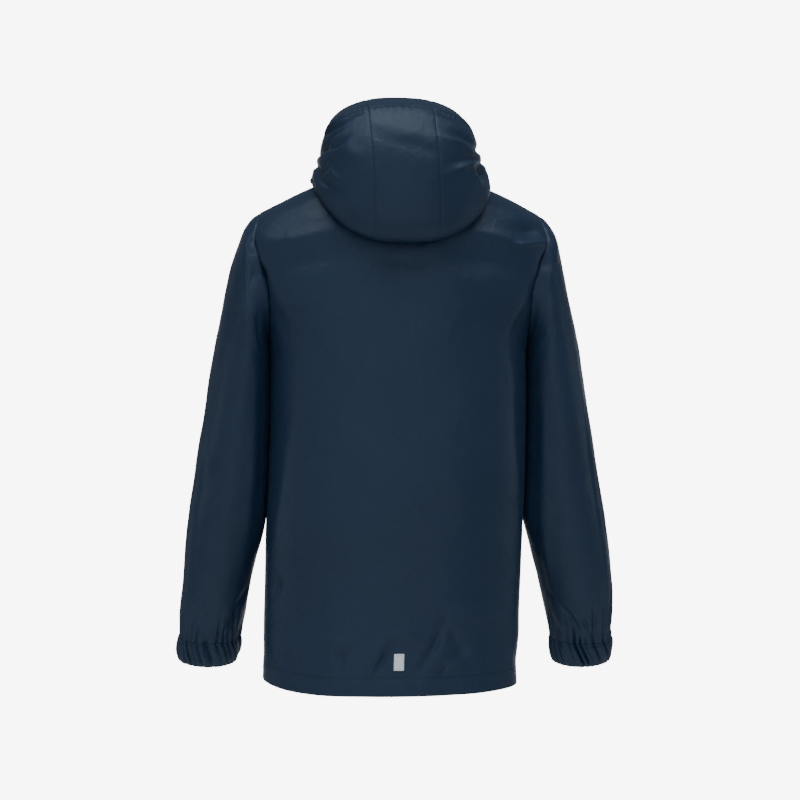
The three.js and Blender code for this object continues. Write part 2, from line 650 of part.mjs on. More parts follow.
const extruded = (shape, depth) =>
  new THREE.ExtrudeGeometry(shape, { depth, bevelEnabled: false, curveSegments: 5 })
    .translate(0, 0, -depth / 2);

const wasm = await Module();
wasm.setup();

function solidOf(geometry) {
  const bare = geometry.clone();
  bare.deleteAttribute('normal');
  bare.deleteAttribute('uv');
  const merged = mergeVertices(bare, 1e-4);
  return new wasm.Manifold(new wasm.Mesh({
    numProp: 3,
    vertProperties: new Float32Array(merged.attributes.position.array),
    triVerts: new Uint32Array(merged.index.array),
  }));
}

function joined(first, second) {
  const mesh = solidOf(first).add(solidOf(second)).getMesh();
  const geometry = new THREE.BufferGeometry();
  geometry.setAttribute('position', new THREE.Float32BufferAttribute(mesh.vertProperties, 3));
  geometry.setIndex(Array.from(mesh.triVerts));
  geometry.computeVertexNormals();
  return geometry;
}

function addSlider() {
  const group = zipGroup(SLIDER_PLACE);
  const { halfWidth, innerHalfWidth, floor, top, skirt, chamfer } = SLIDER;
  const channel = extruded(polygon([
    [-halfWidth, skirt], [-innerHalfWidth, skirt], [-innerHalfWidth, floor],
    [innerHalfWidth, floor], [innerHalfWidth, skirt], [halfWidth, skirt],
    [halfWidth, top - chamfer], [halfWidth - chamfer, top],
    [-halfWidth + chamfer, top], [-halfWidth, top - chamfer],
  ]), SLIDER.length);
  const end = BAIL.length / 2;
  const leg = end - BAIL.bar;
  const foot = top - BAIL.sunk;
  const roof = top + BAIL.hollow;
  const bail = extruded(polygon([
    [-end, foot], [-leg, foot], [-leg, roof], [leg, roof], [leg, foot], [end, foot],
    [end, roof], [leg, roof + BAIL.bar], [-leg, roof + BAIL.bar], [-end, roof],
  ]), BAIL.width).rotateY(-Math.PI / 2);
  addMesh('zip_slider', joined(channel, bail), DARK_METAL, group);

  const plate = roundedPlate(PULL.width, PULL.bar - PULL.length, PULL.bar, PULL.corner);
  const eye = roundedPlate(PULL.eyeWidth, -PULL.bar - PULL.eyeLength, -PULL.bar, PULL.eyeCorner);
  plate.holes.push(new THREE.Path(eye.getPoints(3)));
  const pull = extruded(plate, PULL.thickness).rotateX(-Math.PI / 2);
  addMesh('zip_pull', pull, DARK_METAL, group).position.y = HINGE_HEIGHT;
}

function addBox() {
  const group = zipGroup(riseAt(BOX.start + BOX.length / 2));
  const shape = roundedPlate(BOX.width, -BOX.length / 2, BOX.length / 2, BOX.corner);
  const box = extruded(shape, BOX.top - BOX.base).rotateX(-Math.PI / 2);
  addMesh('zip_box', box, NAVY_TRIM, group).position.y = (BOX.top + BOX.base) / 2;
}

function addTab() {
  const rows = steps(-0.5, 0.5, 2).map((up) => steps(-0.5, 0.5, 2).map((across) => {
    const rise = riseAt(TAB.z + up * TAB.height);
    const share = (TAB.x + across * TAB.width) / halfWidthAt(rise);
    const wall = panelPoint(turnOf(share), rise, 1);
    wall.point.addScaledVector(wall.out, SEAM_GAP + TAB.thickness);
    return wall;
  }));
  addWall('reflective_tab', rows, SILVER_CLOTH, TAB.thickness);
}

addBack();
addFront('front_left', 1);
addFront('front_right', -1);
addSleeve('sleeve_left', 1);
addSleeve('sleeve_right', -1);
addCuff('cuff_left', 1);
addCuff('cuff_right', -1);
addHood();
addZip();
addSlider();
addBox();
addTab();

export default jacket;
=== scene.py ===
# %% [markdown]
# # A child's rain jacket, from flat cuts to a finished picture
# The real jacket is cut from one thin, coated, woven cloth: a back, two fronts, two sleeves, two
# elastic cuffs and a three-part hood, closed by a zip. The solids that came before this file give
# each of these pieces its size and place. Here each one becomes a finer sheet of cloth with its
# creases, seams, stitches and weave. The frame is loaded first, because everything else is
# measured from it.

import bpy
import numpy as np
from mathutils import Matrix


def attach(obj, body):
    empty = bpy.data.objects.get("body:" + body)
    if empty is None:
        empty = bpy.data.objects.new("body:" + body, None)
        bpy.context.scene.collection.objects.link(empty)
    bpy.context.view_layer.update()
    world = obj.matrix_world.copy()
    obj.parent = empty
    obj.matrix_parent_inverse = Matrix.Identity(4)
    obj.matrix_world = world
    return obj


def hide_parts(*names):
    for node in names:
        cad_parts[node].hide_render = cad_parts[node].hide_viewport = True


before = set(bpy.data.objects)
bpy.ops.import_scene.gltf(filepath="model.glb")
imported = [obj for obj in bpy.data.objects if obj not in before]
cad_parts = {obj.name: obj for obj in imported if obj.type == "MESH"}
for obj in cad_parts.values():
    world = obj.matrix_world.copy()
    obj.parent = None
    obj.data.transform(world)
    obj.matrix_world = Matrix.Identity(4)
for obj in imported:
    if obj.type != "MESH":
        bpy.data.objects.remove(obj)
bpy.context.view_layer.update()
print("solids:", sorted(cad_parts))

# %% [markdown]
# The shapes are worked out in millimetres, because that is how a garment is measured, and Blender
# gets metres at the end. A garment has few sizes that stay the same from hem to neck, so most of
# them stand in short tables, and a smooth curve is read through each column. A curve through few
# rows gives the long even lines that cloth has, which hand-placed points rarely do.

# %% Tables and smooth curves
MM = 0.001
NUDGE = 1e-3
SIDES = {"left": 1, "right": -1}


def table(columns, *rows):
    """Rows of numbers as named columns."""
    return dict(zip(columns.split(), np.array(rows, float).T))


def each_row(rows):
    """The rows of a table, one at a time, by the names of their columns."""
    return [dict(zip(rows, values)) for values in zip(*rows.values())]


def lerp(a, b, t):
    """a at t = 0, b at t = 1 and a straight line between."""
    return a + (b - a) * t


def soft_step(value, low, high):
    """0 up to low, 1 from high, and a soft S between."""
    t = np.clip((value - low) / (high - low), 0, 1)
    return t * t * (3 - 2 * t)


def bell(distance, width):
    """1 in the middle and a soft fall to either side, to a third at the width."""
    return np.exp(-(distance / width) ** 2)


def signed_power(value, power):
    """The size of a value to a power, with its sign kept."""
    return np.sign(value) * np.abs(value) ** power


def read(rows, key, place):
    """Each column at a place: between two rows, the cubic that meets both with the mean slope of
    the rows on either side."""
    keys = rows[key]
    last = len(keys) - 1
    spot = np.clip(place, keys[0], keys[last])
    i = np.clip(np.searchsorted(keys, spot, side="left") - 1, 0, last - 1)
    span = keys[i + 1] - keys[i]
    t = (spot - keys[i]) / span
    before = np.maximum(np.arange(last + 1) - 1, 0)
    after = np.minimum(np.arange(last + 1) + 1, last)
    result = {}
    for column, values in rows.items():
        slope = (values[after] - values[before]) / (keys[after] - keys[before])
        result[column] = ((1 + 2 * t) * (1 - t) ** 2 * values[i]
                          + t * (1 - t) ** 2 * span * slope[i]
                          + t * t * (3 - 2 * t) * values[i + 1]
                          - t * t * (1 - t) * span * slope[i + 1])
    return result


# %% [markdown]
# A surface is a function of two numbers, such as how far round and how far up. Its outward
# direction comes from two short steps along it and their cross product, as for any smooth shape.
# Every crease, seam and hem is then only a distance, in or out along that direction.

# %% Directions and lengths on a surface
def outward(surface, a, b, a_ends, b_ends, sign):
    """Unit vectors square to a surface, from its slopes along both numbers."""
    a = np.clip(a, *a_ends)
    b = np.clip(b, *b_ends)
    along_a = surface(a + NUDGE, b) - surface(a - NUDGE, b)
    along_b = surface(a, b + NUDGE) - surface(a, b - NUDGE)
    normal = sign * np.cross(along_a, along_b)
    return normal / np.linalg.norm(normal, axis=-1, keepdims=True)


def running_length(points, axis):
    """Length of cloth from the first row or column of a grid to each of its points."""
    step = np.linalg.norm(np.diff(points, axis=axis), axis=-1)
    zero = np.zeros_like(step[:1] if axis == 0 else step[:, :1])
    return np.concatenate([zero, np.cumsum(step, axis=axis)], axis=axis)


def blended_steps(values, finer):
    """A row of numbers with the gap between each two cut into finer equal steps."""
    spots = np.arange((len(values) - 1) * finer + 1) / finer
    return np.interp(spots, np.arange(len(values)), values)


# %% [markdown]
# The trunk of the jacket is a tube that is rounder than a box and squarer than an ellipse, so its
# section is a superellipse. Above the underarm it closes towards the neckline and the shoulder
# seams, and its sides end at the armholes. The whole jacket leans a little to one side, as it does
# on the stand. These are the sizes of the solids, so the cloth lies where they are.

# %% Shape of the back and the fronts
CLOTH = 1.5
SEAM_GAP = 0.04
HEM_Z = -631
HEM_LIFT = {"left": 11, "right": 5, "power": 4}
UNDERARM_Z = -215
HEM_DEPTH = 25
NECK_HALF_WIDTH = 72
NECK_SIDE_Z = 4
SHOULDER_SLOPE = 0.38
SHOULDER_DROOP = 0.0008
NECK = {1: {"reach": 60, "z": -6}, -1: {"reach": 76, "z": -46}}
NECK_EASE = {"power": 0.7, "near_top": 8}
SECTION_POWER = 0.77
PROFILE_POWER = 2.67
BODY_SECTIONS = table("z half_width back front",
                      (HEM_Z, 158, 107, 104),
                      (-435, 160, 105, 106),
                      (UNDERARM_Z, 160, 104, 105))
LEAN = table("z x", (HEM_Z, 7), (-470, 2.5), (-330, -2.5), (UNDERARM_Z, -3), (-120, -3),
             (-45, -5.5), (20, -2.5), (95, 1.5))
ARMHOLE = table("climb x", (0, 160), (0.4, 161.5), (0.62, 172), (0.82, 181), (1, 174))
ARMHOLE_HALF_DEPTH = 56
UNDERARM_POINT = 1.6
BULGE_HUG = {"underarm": 3, "above": 1.5, "from": 0.3}
EDGE_TURN = np.radians(89)
EDGE_RISE = 1.98


def lean(z):
    """Sideways lean of the jacket at a height."""
    return read(LEAN, "z", z)["x"]


def top_edge(x, side):
    """Reach and height of the neckline, an arc, and of the shoulder seam beyond it."""
    beyond = np.maximum(np.abs(x) - NECK_HALF_WIDTH, 0)
    round_ = np.maximum(1 - (x / NECK_HALF_WIDTH) ** 2, 0)
    neck = NECK[side]
    shoulder = NECK_SIDE_Z - SHOULDER_SLOPE * beyond - SHOULDER_DROOP * beyond ** 2
    return neck["reach"] * np.sqrt(round_), np.where(
        beyond > 0, shoulder, lerp(NECK_SIDE_Z, neck["z"], round_))


def profile_root(x):
    """1 at the middle, for a steep neck, and the full power over the shoulders."""
    return lerp(1, PROFILE_POWER, soft_step(np.abs(x), 0, NECK_HALF_WIDTH))


def armhole_share(angle, point):
    """Share of the armhole's half depth at an angle up it: an egg, narrow at the underarm."""
    return signed_power(np.sin(angle), np.where(np.cos(angle) > 0, point, 1))


def body(turn, rise, side):
    """A superellipse round the trunk (turn, side to side), carried from the hem (rise 0) to the
    underarm (1), then drawn in to the neckline and the shoulder seam (2). The neckline's arc is
    flatter lower down, so that the cloth below it bends evenly."""
    across = signed_power(np.sin(turn), SECTION_POWER)
    roundness = signed_power(np.cos(turn), SECTION_POWER)
    lift = lerp(HEM_LIFT["right"], HEM_LIFT["left"], (across + 1) / 2)
    hem_z = HEM_Z + lift * np.abs(across) ** HEM_LIFT["power"]
    low_z = lerp(hem_z, UNDERARM_Z, np.minimum(rise, 1))
    section = read(BODY_SECTIONS, "z", low_z)
    angle = np.pi * (np.maximum(rise, 1) - 1)
    climb = (1 - np.cos(angle)) / 2
    width = np.where(rise <= 1, section["half_width"], read(ARMHOLE, "climb", climb)["x"])
    x = across * width
    top_reach, top_z = top_edge(x, side)
    round_ = np.maximum(1 - (x / NECK_HALF_WIDTH) ** 2, 0)
    ease = NECK_EASE["power"] * (1 - climb ** NECK_EASE["near_top"])
    top_reach = np.where(ease > NUDGE, top_reach * round_ ** np.maximum(ease, NUDGE), top_reach)
    opening = (1 - climb ** PROFILE_POWER) ** (1 / profile_root(x))
    hug = lerp(BULGE_HUG["underarm"], BULGE_HUG["above"], soft_step(climb, 0, BULGE_HUG["from"]))
    bulge = ARMHOLE_HALF_DEPTH * armhole_share(angle, UNDERARM_POINT) * (1 - roundness) ** hug
    depth = section["back" if side > 0 else "front"]
    reach = top_reach * (1 - opening) + roundness * depth * opening + bulge
    z = np.where(rise <= 1, low_z, lerp(UNDERARM_Z, top_z, climb))
    return np.stack([x + lean(z), side * (SEAM_GAP / 2 + reach), z], axis=-1)


def body_grid(share, rise, side):
    """Points and outward directions of a panel, by the share of its half width."""
    turn = np.arcsin(np.clip(signed_power(share, 1 / SECTION_POWER), -1, 1))
    points = body(turn, rise, side)
    out = outward(lambda a, b: body(a, b, side), turn, rise,
                  (-EDGE_TURN, EDGE_TURN), (NUDGE, EDGE_RISE), -side)
    return points, out


print("chest round the outside, mm:", round(float(running_length(
    body(np.linspace(-np.pi / 2, np.pi / 2, 181)[None], np.array([[1.0]]), 1), 1)[0, -1]) * 2))

# %% [markdown]
# A sleeve is a tube that starts at the egg-shaped armhole and hangs down and forward, and the
# elastic cuff is the end of the same tube. Its rings are tilted and carried forward as a relaxed
# arm holds them. The elastic pulls the cloth into gathers, which run up the sleeve by uneven
# lengths and fade out.

# %% Shape of the sleeves and cuffs
ARMHOLE_GAP = 0.9
ARMHOLE_SEAM = 0.03
ARMHOLE_FADE = 70
CUFF_START = 543
CUFF_END = 571
CUFF_PUFF = 2
GATHERS = 24
GATHER_DEPTH = 2.7
GATHER_REACH = {"shortest": 16, "longest": 50}
GATHER_SLANT = 1.3
GATHER_RIDGE = {"wander": 0.35, "height": 2.3, "power": 0.6, "sink": 1.6}
GATHER_CHANGE = {"mean": 0.75, "slow": 0.3, "fast": 0.2}
GATHER_EDGE = {"flatter": 0.75, "from": CUFF_START + 18}
SLEEVE_RINGS = table(
    "along out_x out_z under_x under_z depth forward tilt",
    (0, 174, -43, 160, -215, 56, 0, 0), (14, 184, -52, 162.5, -219, 57, 0, 0),
    (31, 193.5, -66, 161, -223, 58, 0, 0), (55, 201, -89, 160.9, -229, 59, 0, 0),
    (88, 209, -121, 160.9, -237, 60, 0, 0), (127, 217, -159, 160.9, -249, 60, 0, 0),
    (172, 226, -203, 160.9, -266, 58, 0, 0), (227, 235, -257, 160.9, -296, 54, 0, 0),
    (291, 245, -321, 160.9, -342, 50, 1, 2), (355, 255, -384, 161.4, -394, 46, 5, 5),
    (416, 264, -444, 166, -444, 44, 13, 9), (471, 268.5, -499, 179, -494, 42, 25, 13),
    (511, 271, -539, 188, -534, 38, 35, 15), (543, 271, -571, 194.5, -570, 31, 43, 17),
    (571, 272, -600, 197, -602, 28, 51, 18))
SLEEVE_SWAY = table(
    "along left_out left_under right_out right_under right_drop",
    (0, 0, 0, 0, 0, 0), (320, 0, 0, 0, 0, 0), (400, -1, 3, -2, 0, 0), (455, -2, 1, -5.5, 0.5, 2),
    (511, -0.5, -1, -5.5, -2, 4), (543, 0, 0, -5.5, -4, 5), (571, 1, 2, -5.5, -5, 5))


def sleeve(turn, along, hand):
    """Ovals set along the arm: turn runs from the under line by the back, along from the
    armhole to the edge of the cuff. The right sleeve mirrors the left one, and both lean with the
    shoulders and hang a little aside of that."""
    ring = read(SLEEVE_RINGS, "along", along)
    sway = read(SLEEVE_SWAY, "along", along)
    side = "left" if hand > 0 else "right"
    climb = (1 - np.cos(turn)) / 2
    straight = lerp(SLEEVE_RINGS["under_x"][0], SLEEVE_RINGS["out_x"][0], climb)
    fade = 1 - soft_step(along, 0, ARMHOLE_FADE)
    shaped = (read(ARMHOLE, "climb", climb)["x"] - straight) * fade
    reach = ring["depth"] * armhole_share(turn, lerp(1, UNDERARM_POINT, fade))
    tilt = np.radians(ring["tilt"])
    gap = lerp(ARMHOLE_SEAM, ARMHOLE_GAP, soft_step(along, 0, 8))
    x = hand * (lerp(ring["under_x"], ring["out_x"], climb) + shaped + gap)
    z = lerp(ring["under_z"], ring["out_z"], climb) - reach * np.sin(tilt)
    if hand < 0:
        z = z - sway["right_drop"]
    x = x + lerp(sway[side + "_under"], sway[side + "_out"], climb) + lean(
        np.maximum(z, UNDERARM_Z))
    return np.stack(np.broadcast_arrays(x, reach * np.cos(tilt) - ring["forward"], z), axis=-1)


def gather(turn, along, hand):
    """Round ridges between narrow valleys, the root of a cosine's size, whose spacing, depth and
    length up the sleeve change on the way round. They are flatter at the edge of the cuff."""
    count = turn / (2 * np.pi) * GATHERS + GATHER_RIDGE["wander"] * np.sin(5 * turn + hand)
    wave = np.abs(np.cos(np.pi * count)) ** GATHER_RIDGE["power"]
    ridge = GATHER_RIDGE["height"] * wave - GATHER_RIDGE["sink"]
    strength = (GATHER_CHANGE["mean"] + GATHER_CHANGE["slow"] * np.sin(7 * turn + 1.3 * hand)
                + GATHER_CHANGE["fast"] * np.sin(11 * turn))
    longest = (1 + np.sin(9 * turn + 2 * hand)) / 2
    length = lerp(GATHER_REACH["shortest"], GATHER_REACH["longest"], longest)
    edge = 1 - GATHER_EDGE["flatter"] * soft_step(along, GATHER_EDGE["from"], CUFF_END)
    return GATHER_DEPTH * strength * edge * ridge * soft_step(
        along, CUFF_START - length, CUFF_START)


# %% [markdown]
# The hood hangs behind the neck like an open pouch. From the neck seam its cloth runs down the
# back, folds up, and rises to the opening edge, while at the front it stands up as a collar. Each
# ring round it is set by its back, side and front points. Its underside rests on the shoulders, so
# it is held just above the height that the trunk has there.

# %% Shape of the hood
HOOD_RINGS = table(
    "along half_width front_width power back_y side_y front_y back_z side_z front_z "
    "back_ease front_ease",
    (0, 72, 72, 1, 60, 0, -76, -5, 5, -45, 2, 2),
    (0.16, 90, 76, 0.9, 84, 8, -78, -56, 0, -40, 1.4, 3),
    (0.32, 108, 80, 0.8, 105, 26, -80, -86, -6, -35, 1.2, 4),
    (0.45, 111, 78, 0.8, 124, 30, -82, -68, -2, -30, 1.2, 4),
    (0.6, 105, 74, 0.8, 129, 34, -84, -18, 14, -24, 1.2, 4),
    (0.75, 98, 70, 0.8, 121, 36, -86, 36, 30, -17, 1.2, 4),
    (0.88, 94, 67, 0.8, 98, 36, -88, 76, 45, -11, 1.2, 3.5),
    (1, 87, 65, 0.8, 66, 31, -90, 93, 57, -5, 1.2, 3))
HOOD_SEAM_X = 40
HOOD_REST = {"above": 1.6, "at_neck": 1.6, "beyond": 4, "from": 0.16}
TUNNEL = {"start": 0.9, "step": 0.01, "relief": 0.7}
HEIGHT_SEARCH = {"guess": 0.9, "tries": 4, "widest": 0.999}


def body_height(x, y):
    """Height of the trunk's outside over a point of the plan near the shoulders: the trunk's
    formula solved for its climb, tried again as the armhole's width follows the climb."""
    depth = np.where(y > 0, BODY_SECTIONS["back"][-1], BODY_SECTIONS["front"][-1])
    back, front = top_edge(x, 1), top_edge(x, -1)
    top_reach, top_z = np.where(y > 0, back[0], front[0]), np.where(y > 0, back[1], front[1])
    climb = np.full(np.broadcast(x, y).shape, HEIGHT_SEARCH["guess"])
    for _ in range(HEIGHT_SEARCH["tries"]):
        across = np.minimum(np.abs(x) / read(ARMHOLE, "climb", climb)["x"],
                            HEIGHT_SEARCH["widest"])
        roundness = (1 - across ** (2 / SECTION_POWER)) ** (SECTION_POWER / 2)
        opening = np.clip((np.abs(y) - top_reach) / (roundness * depth - top_reach), 0, 1)
        climb = (1 - opening ** profile_root(x)) ** (1 / PROFILE_POWER)
    return lerp(UNDERARM_Z, top_z, climb)


def hood(place, along):
    """Rings round the neck by their angle from the centre back, in degrees, carried from the
    neck seam (along 0) over the fold to the opening edge (1), and held above the trunk."""
    ring = read(HOOD_RINGS, "along", along)
    angle = np.radians(place)
    sine = signed_power(np.sin(angle), ring["power"])
    cosine = np.abs(np.cos(angle))
    swing = cosine ** ring["power"]
    behind = np.abs(place) <= 90
    width = np.where(behind, ring["half_width"],
                     lerp(ring["front_width"], ring["half_width"], np.sin(angle) ** 2))
    y = lerp(ring["side_y"], np.where(behind, ring["back_y"], ring["front_y"]), swing)
    ease = np.where(behind, ring["back_ease"], ring["front_ease"])
    z = lerp(ring["side_z"], np.where(behind, ring["back_z"], ring["front_z"]), cosine ** ease)
    x = width * sine
    aside = HOOD_REST["at_neck"] + HOOD_REST["beyond"] * np.minimum(along / HOOD_REST["from"], 1)
    rest = body_height(x, np.sign(y) * np.maximum(np.abs(y) - aside, 0)) + HOOD_REST["above"]
    return np.stack([x + lean(z), y, np.maximum(z, rest)], axis=-1)


def hood_angle(x, along, front):
    """Angle at which a ring of the hood is a distance x from the middle."""
    ring = read(HOOD_RINGS, "along", along)
    width = ring["front_width"] if front else ring["half_width"]
    angle = np.degrees(np.arcsin((x / width) ** (1 / ring["power"])))
    return 180 - angle if front else angle


# %% [markdown]
# Thin coated cloth that is filled out shows few creases: long soft ones down the body, a few short
# ones where it is pulled, and a slight unevenness everywhere. Each crease is a soft trough, or a
# ridge when its depth is negative, with its own place, slant, length, width and depth. Placing them
# one by one follows the photograph better than a cloth simulation, which would fold where it likes.

# %% Creases
def creases(u, v, rows):
    """Sum of soft troughs: each falls off as a bell along its length and across its width, in
    the direction that its slant gives, in degrees from the u axis."""
    move = np.zeros(np.broadcast(u, v).shape)
    for row in each_row(rows):
        slant = np.radians(row["slant"])
        du, dv = u - row["u"], v - row["v"]
        along = (du * np.cos(slant) + dv * np.sin(slant)) / row["length"]
        bent = dv * np.cos(slant) - du * np.sin(slant) - row["bend"] * along ** 2
        move -= row["depth"] * bell(along, 1) * bell(bent, row["width"])
    return move


UNEVEN = table("length slant depth start",
               (143, 8, 0.5, 0.3), (97, 74, 0.45, 1.9), (71, -38, 0.3, 4.1),
               (53, 51, 0.22, 2.6), (37, -12, 0.14, 5.2), (29, 83, 0.1, 0.8))


UNEVEN_SWAY = 3.1


def uneven(u, v, strength=1.0):
    """Slight waves of several lengths and directions, added together."""
    move = np.zeros(np.broadcast(u, v).shape)
    for row in each_row(UNEVEN):
        slant = np.radians(row["slant"])
        across = u * np.cos(slant) + v * np.sin(slant)
        sway = row["start"] + np.sin(2 * np.pi * (v - u) / (UNEVEN_SWAY * row["length"]))
        move += row["depth"] * np.sin(2 * np.pi * across / row["length"] + sway)
    return strength * move


PUCKER = {"sway": 1.3, "sway_run": 2.3, "slow_sway": 0.7, "slow_run": 5.1, "least": 0.3,
          "depth_run": 3.7}


def pucker(distance, run, depth, length, reach):
    """Small waves that a seam's thread pulls up beside it: they run along the seam, change
    length as they go, and fade with the distance from it."""
    sway = (PUCKER["sway"] * np.sin(run / (PUCKER["sway_run"] * length))
            + PUCKER["slow_sway"] * np.sin(run / (PUCKER["slow_run"] * length) + 2))
    swell = (1 + np.sin(run / (PUCKER["depth_run"] * length) + 1)) / 2
    uneven_depth = lerp(PUCKER["least"], 1, swell)
    return depth * uneven_depth * np.exp(-distance / reach) * np.sin(
        2 * np.pi * run / length + sway)


def seam_roll(distance, depth=0.9, reach=1.7):
    """The edge of a piece turned in at its seam: a bell-shaped dip."""
    return -depth * bell(distance, reach)


PULLS = table("hand z length depth", (1, -121, 11, 3.2), (1, -84, 9, 1.8), (-1, -103, 14, 3.2),
              (-1, -62, 12, 1.6))
PULL_REACH = 7


def armhole_pull(z, distance, hand):
    """Dips on both sides of an armhole's seam, where it pulls the cloth in."""
    move = np.zeros(np.broadcast(z, distance).shape)
    for row in each_row(PULLS):
        if row["hand"] == hand:
            move -= row["depth"] * bell(z - row["z"], row["length"]) * np.exp(
                -distance / PULL_REACH)
    return move


ALLOWANCE = table("beyond depth", (0.6, 0.5), (2, 1.8), (4.5, 2.1))
TAPER_POINTS = 22


def with_allowance(points, out, edges):
    """The grid with its seam allowance: beyond each named edge, three more rows or columns that
    go on in the sheet's own direction and down under the neighbour. Columns narrow at their
    ends."""
    for edge in edges:
        turned = edge in ("first row", "last row")
        if turned:
            points, out = points.swapaxes(0, 1), out.swapaxes(0, 1)
        if edge.startswith("last"):
            points, out = points[:, ::-1], out[:, ::-1]
        onward = points[:, 0] - points[:, 2]
        onward = onward / np.linalg.norm(onward, axis=-1, keepdims=True)
        count = np.arange(len(points))
        taper = soft_step(np.minimum(count, count[::-1]), 0, TAPER_POINTS)[:, None]
        extra = [points[:, 0] + onward * row["beyond"] * (1 if turned else taper)
                 - out[:, 0] * row["depth"] for row in each_row(ALLOWANCE)][::-1]
        points = np.concatenate([np.stack(extra, axis=1), points], axis=1)
        out = np.concatenate([np.repeat(out[:, :1], len(extra), axis=1), out], axis=1)
        if edge.startswith("last"):
            points, out = points[:, ::-1], out[:, ::-1]
        if turned:
            points, out = points.swapaxes(0, 1), out.swapaxes(0, 1)
    return points, out


# %% [markdown]
# Cloth in Blender is a grid of four-sided faces with the Solidify modifier to give it its
# thickness and a small Bevel to round its cut edges, which keeps the surface itself light and easy
# to change. Each grid carries a UV map in metres of real cloth, so that one weave has the same size
# on every piece.

# %% Making a mesh from a grid
EDGE_ROUND = 0.3


def grid_faces(rows, columns, closed):
    """Four corners of every cell of a grid, whose last column joins the first when closed."""
    row, column = np.mgrid[0:rows - 1, 0:columns if closed else columns - 1]
    after = (column + 1) % columns
    cells = [row * columns + column, row * columns + after,
             (row + 1) * columns + after, (row + 1) * columns + column]
    return np.stack(cells, axis=-1).reshape(-1, 4)


def in_scene(name, data):
    """A new object for a mesh, lamp or camera, placed in the scene."""
    thing = bpy.data.objects.new(name, data)
    bpy.context.scene.collection.objects.link(thing)
    return thing


def mesh_object(name, points, faces, uv=None):
    """A mesh object from points in millimetres, faces, and a UV pair for each face corner."""
    mesh = bpy.data.meshes.new(name)
    corners = faces.tolist() if isinstance(faces, np.ndarray) else faces
    mesh.from_pydata((points.reshape(-1, 3) * MM).tolist(), [], corners)
    if uv is not None:
        mesh.uv_layers.new(name="cloth").data.foreach_set("uv", (uv * MM).ravel())
    mesh.polygons.foreach_set("use_smooth", np.ones(len(mesh.polygons), bool))
    mesh.update()
    return in_scene(name, mesh)


def round_edges(thing, width, segments, sharper_than):
    """A Bevel modifier on the edges that turn by more than an angle, its width in millimetres."""
    edge = thing.modifiers.new("edge", "BEVEL")
    edge.width = width * MM
    edge.segments = segments
    edge.limit_method = "ANGLE"
    edge.angle_limit = np.radians(sharper_than)
    return edge


def cloth_object(name, points, out, finish, inside, closed=False, thickness=CLOTH):
    """A sheet of cloth on a grid of points, thickened inwards, its edges rounded."""
    rows, columns = points.shape[:2]
    faces = grid_faces(rows, columns, closed)
    ring = np.concatenate([points, points[:, :1]], axis=1) if closed else points
    u, v = running_length(ring, 1), running_length(ring, 0)
    u = u - u[:, -1:] / 2
    flat = np.stack([u, v], axis=-1)
    corners = np.stack([flat[:-1, :-1], flat[:-1, 1:], flat[1:, 1:], flat[1:, :-1]], axis=2)
    normal = np.cross(ring[:-1, 1:] - ring[:-1, :-1], ring[1:, :-1] - ring[:-1, :-1])
    facing = (normal * out[:-1, :normal.shape[1]]).sum(axis=-1).mean()
    corners = corners.reshape(-1, 4, 2)
    if facing < 0:
        faces, corners = faces[:, ::-1], corners[:, ::-1]
    thing = mesh_object(name, points, faces, corners)
    thing.data.materials.append(finish)
    thing.data.materials.append(inside)
    wall = thing.modifiers.new("wall", "SOLIDIFY")
    wall.thickness = thickness * MM
    wall.offset = -1
    wall.material_offset = 1
    round_edges(thing, EDGE_ROUND, 2, 62)
    print(f"{name}: {len(faces)} faces, widest {np.ptp(u, axis=1).max():.0f} mm, "
          f"longest {v[-1].max():.0f} mm")
    return thing


# %% [markdown]
# All finishes share a few effects, so each effect is a node group that is built once: the weave
# of the cloth, the small crumples of a coated shell, and the slight change of shade over a piece.
# A group gives out only heights, masks and colours, and the shader itself stays in the material.

# %% Shared effects
def new_group(name, inputs, outputs):
    """An empty node group with named number inputs (with their defaults) and outputs."""
    group = bpy.data.node_groups.new(name, "ShaderNodeTree")
    for label, kind, value in inputs:
        socket = group.interface.new_socket(label, in_out="INPUT", socket_type=kind)
        if value is not None:
            socket.default_value = value
    for label, kind in outputs:
        group.interface.new_socket(label, in_out="OUTPUT", socket_type=kind)
    return group, group.nodes.new("NodeGroupInput"), group.nodes.new("NodeGroupOutput")


def math(tree, operation, *values):
    """A Math node of sockets or numbers, and its result."""
    node = tree.nodes.new("ShaderNodeMath")
    node.operation = operation
    for socket, value in zip(node.inputs, values):
        if isinstance(value, (int, float)):
            socket.default_value = value
        else:
            tree.links.new(value, socket)
    return node.outputs[0]


def noise(tree, vector, scale, detail):
    """A Noise Texture's value."""
    node = tree.nodes.new("ShaderNodeTexNoise")
    node.inputs["Detail"].default_value = detail
    tree.links.new(vector, node.inputs["Vector"])
    tree.links.new(scale, node.inputs["Scale"])
    return node.outputs[0]


def make_weave():
    """Plain weave: the height is the product of a wave across and a wave along the cloth, so
    each thread goes over one and under the next."""
    tree, given, result = new_group(
        "weave", [("Cloth", "NodeSocketVector", None),
                  ("Threads per metre", "NodeSocketFloat", 2500)],
        [("Height", "NodeSocketFloat")])
    parts = tree.nodes.new("ShaderNodeSeparateXYZ")
    tree.links.new(given.outputs["Cloth"], parts.inputs[0])
    turns = math(tree, "MULTIPLY", given.outputs["Threads per metre"], float(np.pi))
    across = math(tree, "SINE", math(tree, "MULTIPLY", parts.outputs["X"], turns))
    along = math(tree, "SINE", math(tree, "MULTIPLY", parts.outputs["Y"], turns))
    tree.links.new(math(tree, "MULTIPLY", across, along), result.inputs["Height"])
    return tree


RIDGE_SHARPNESS = 10.0


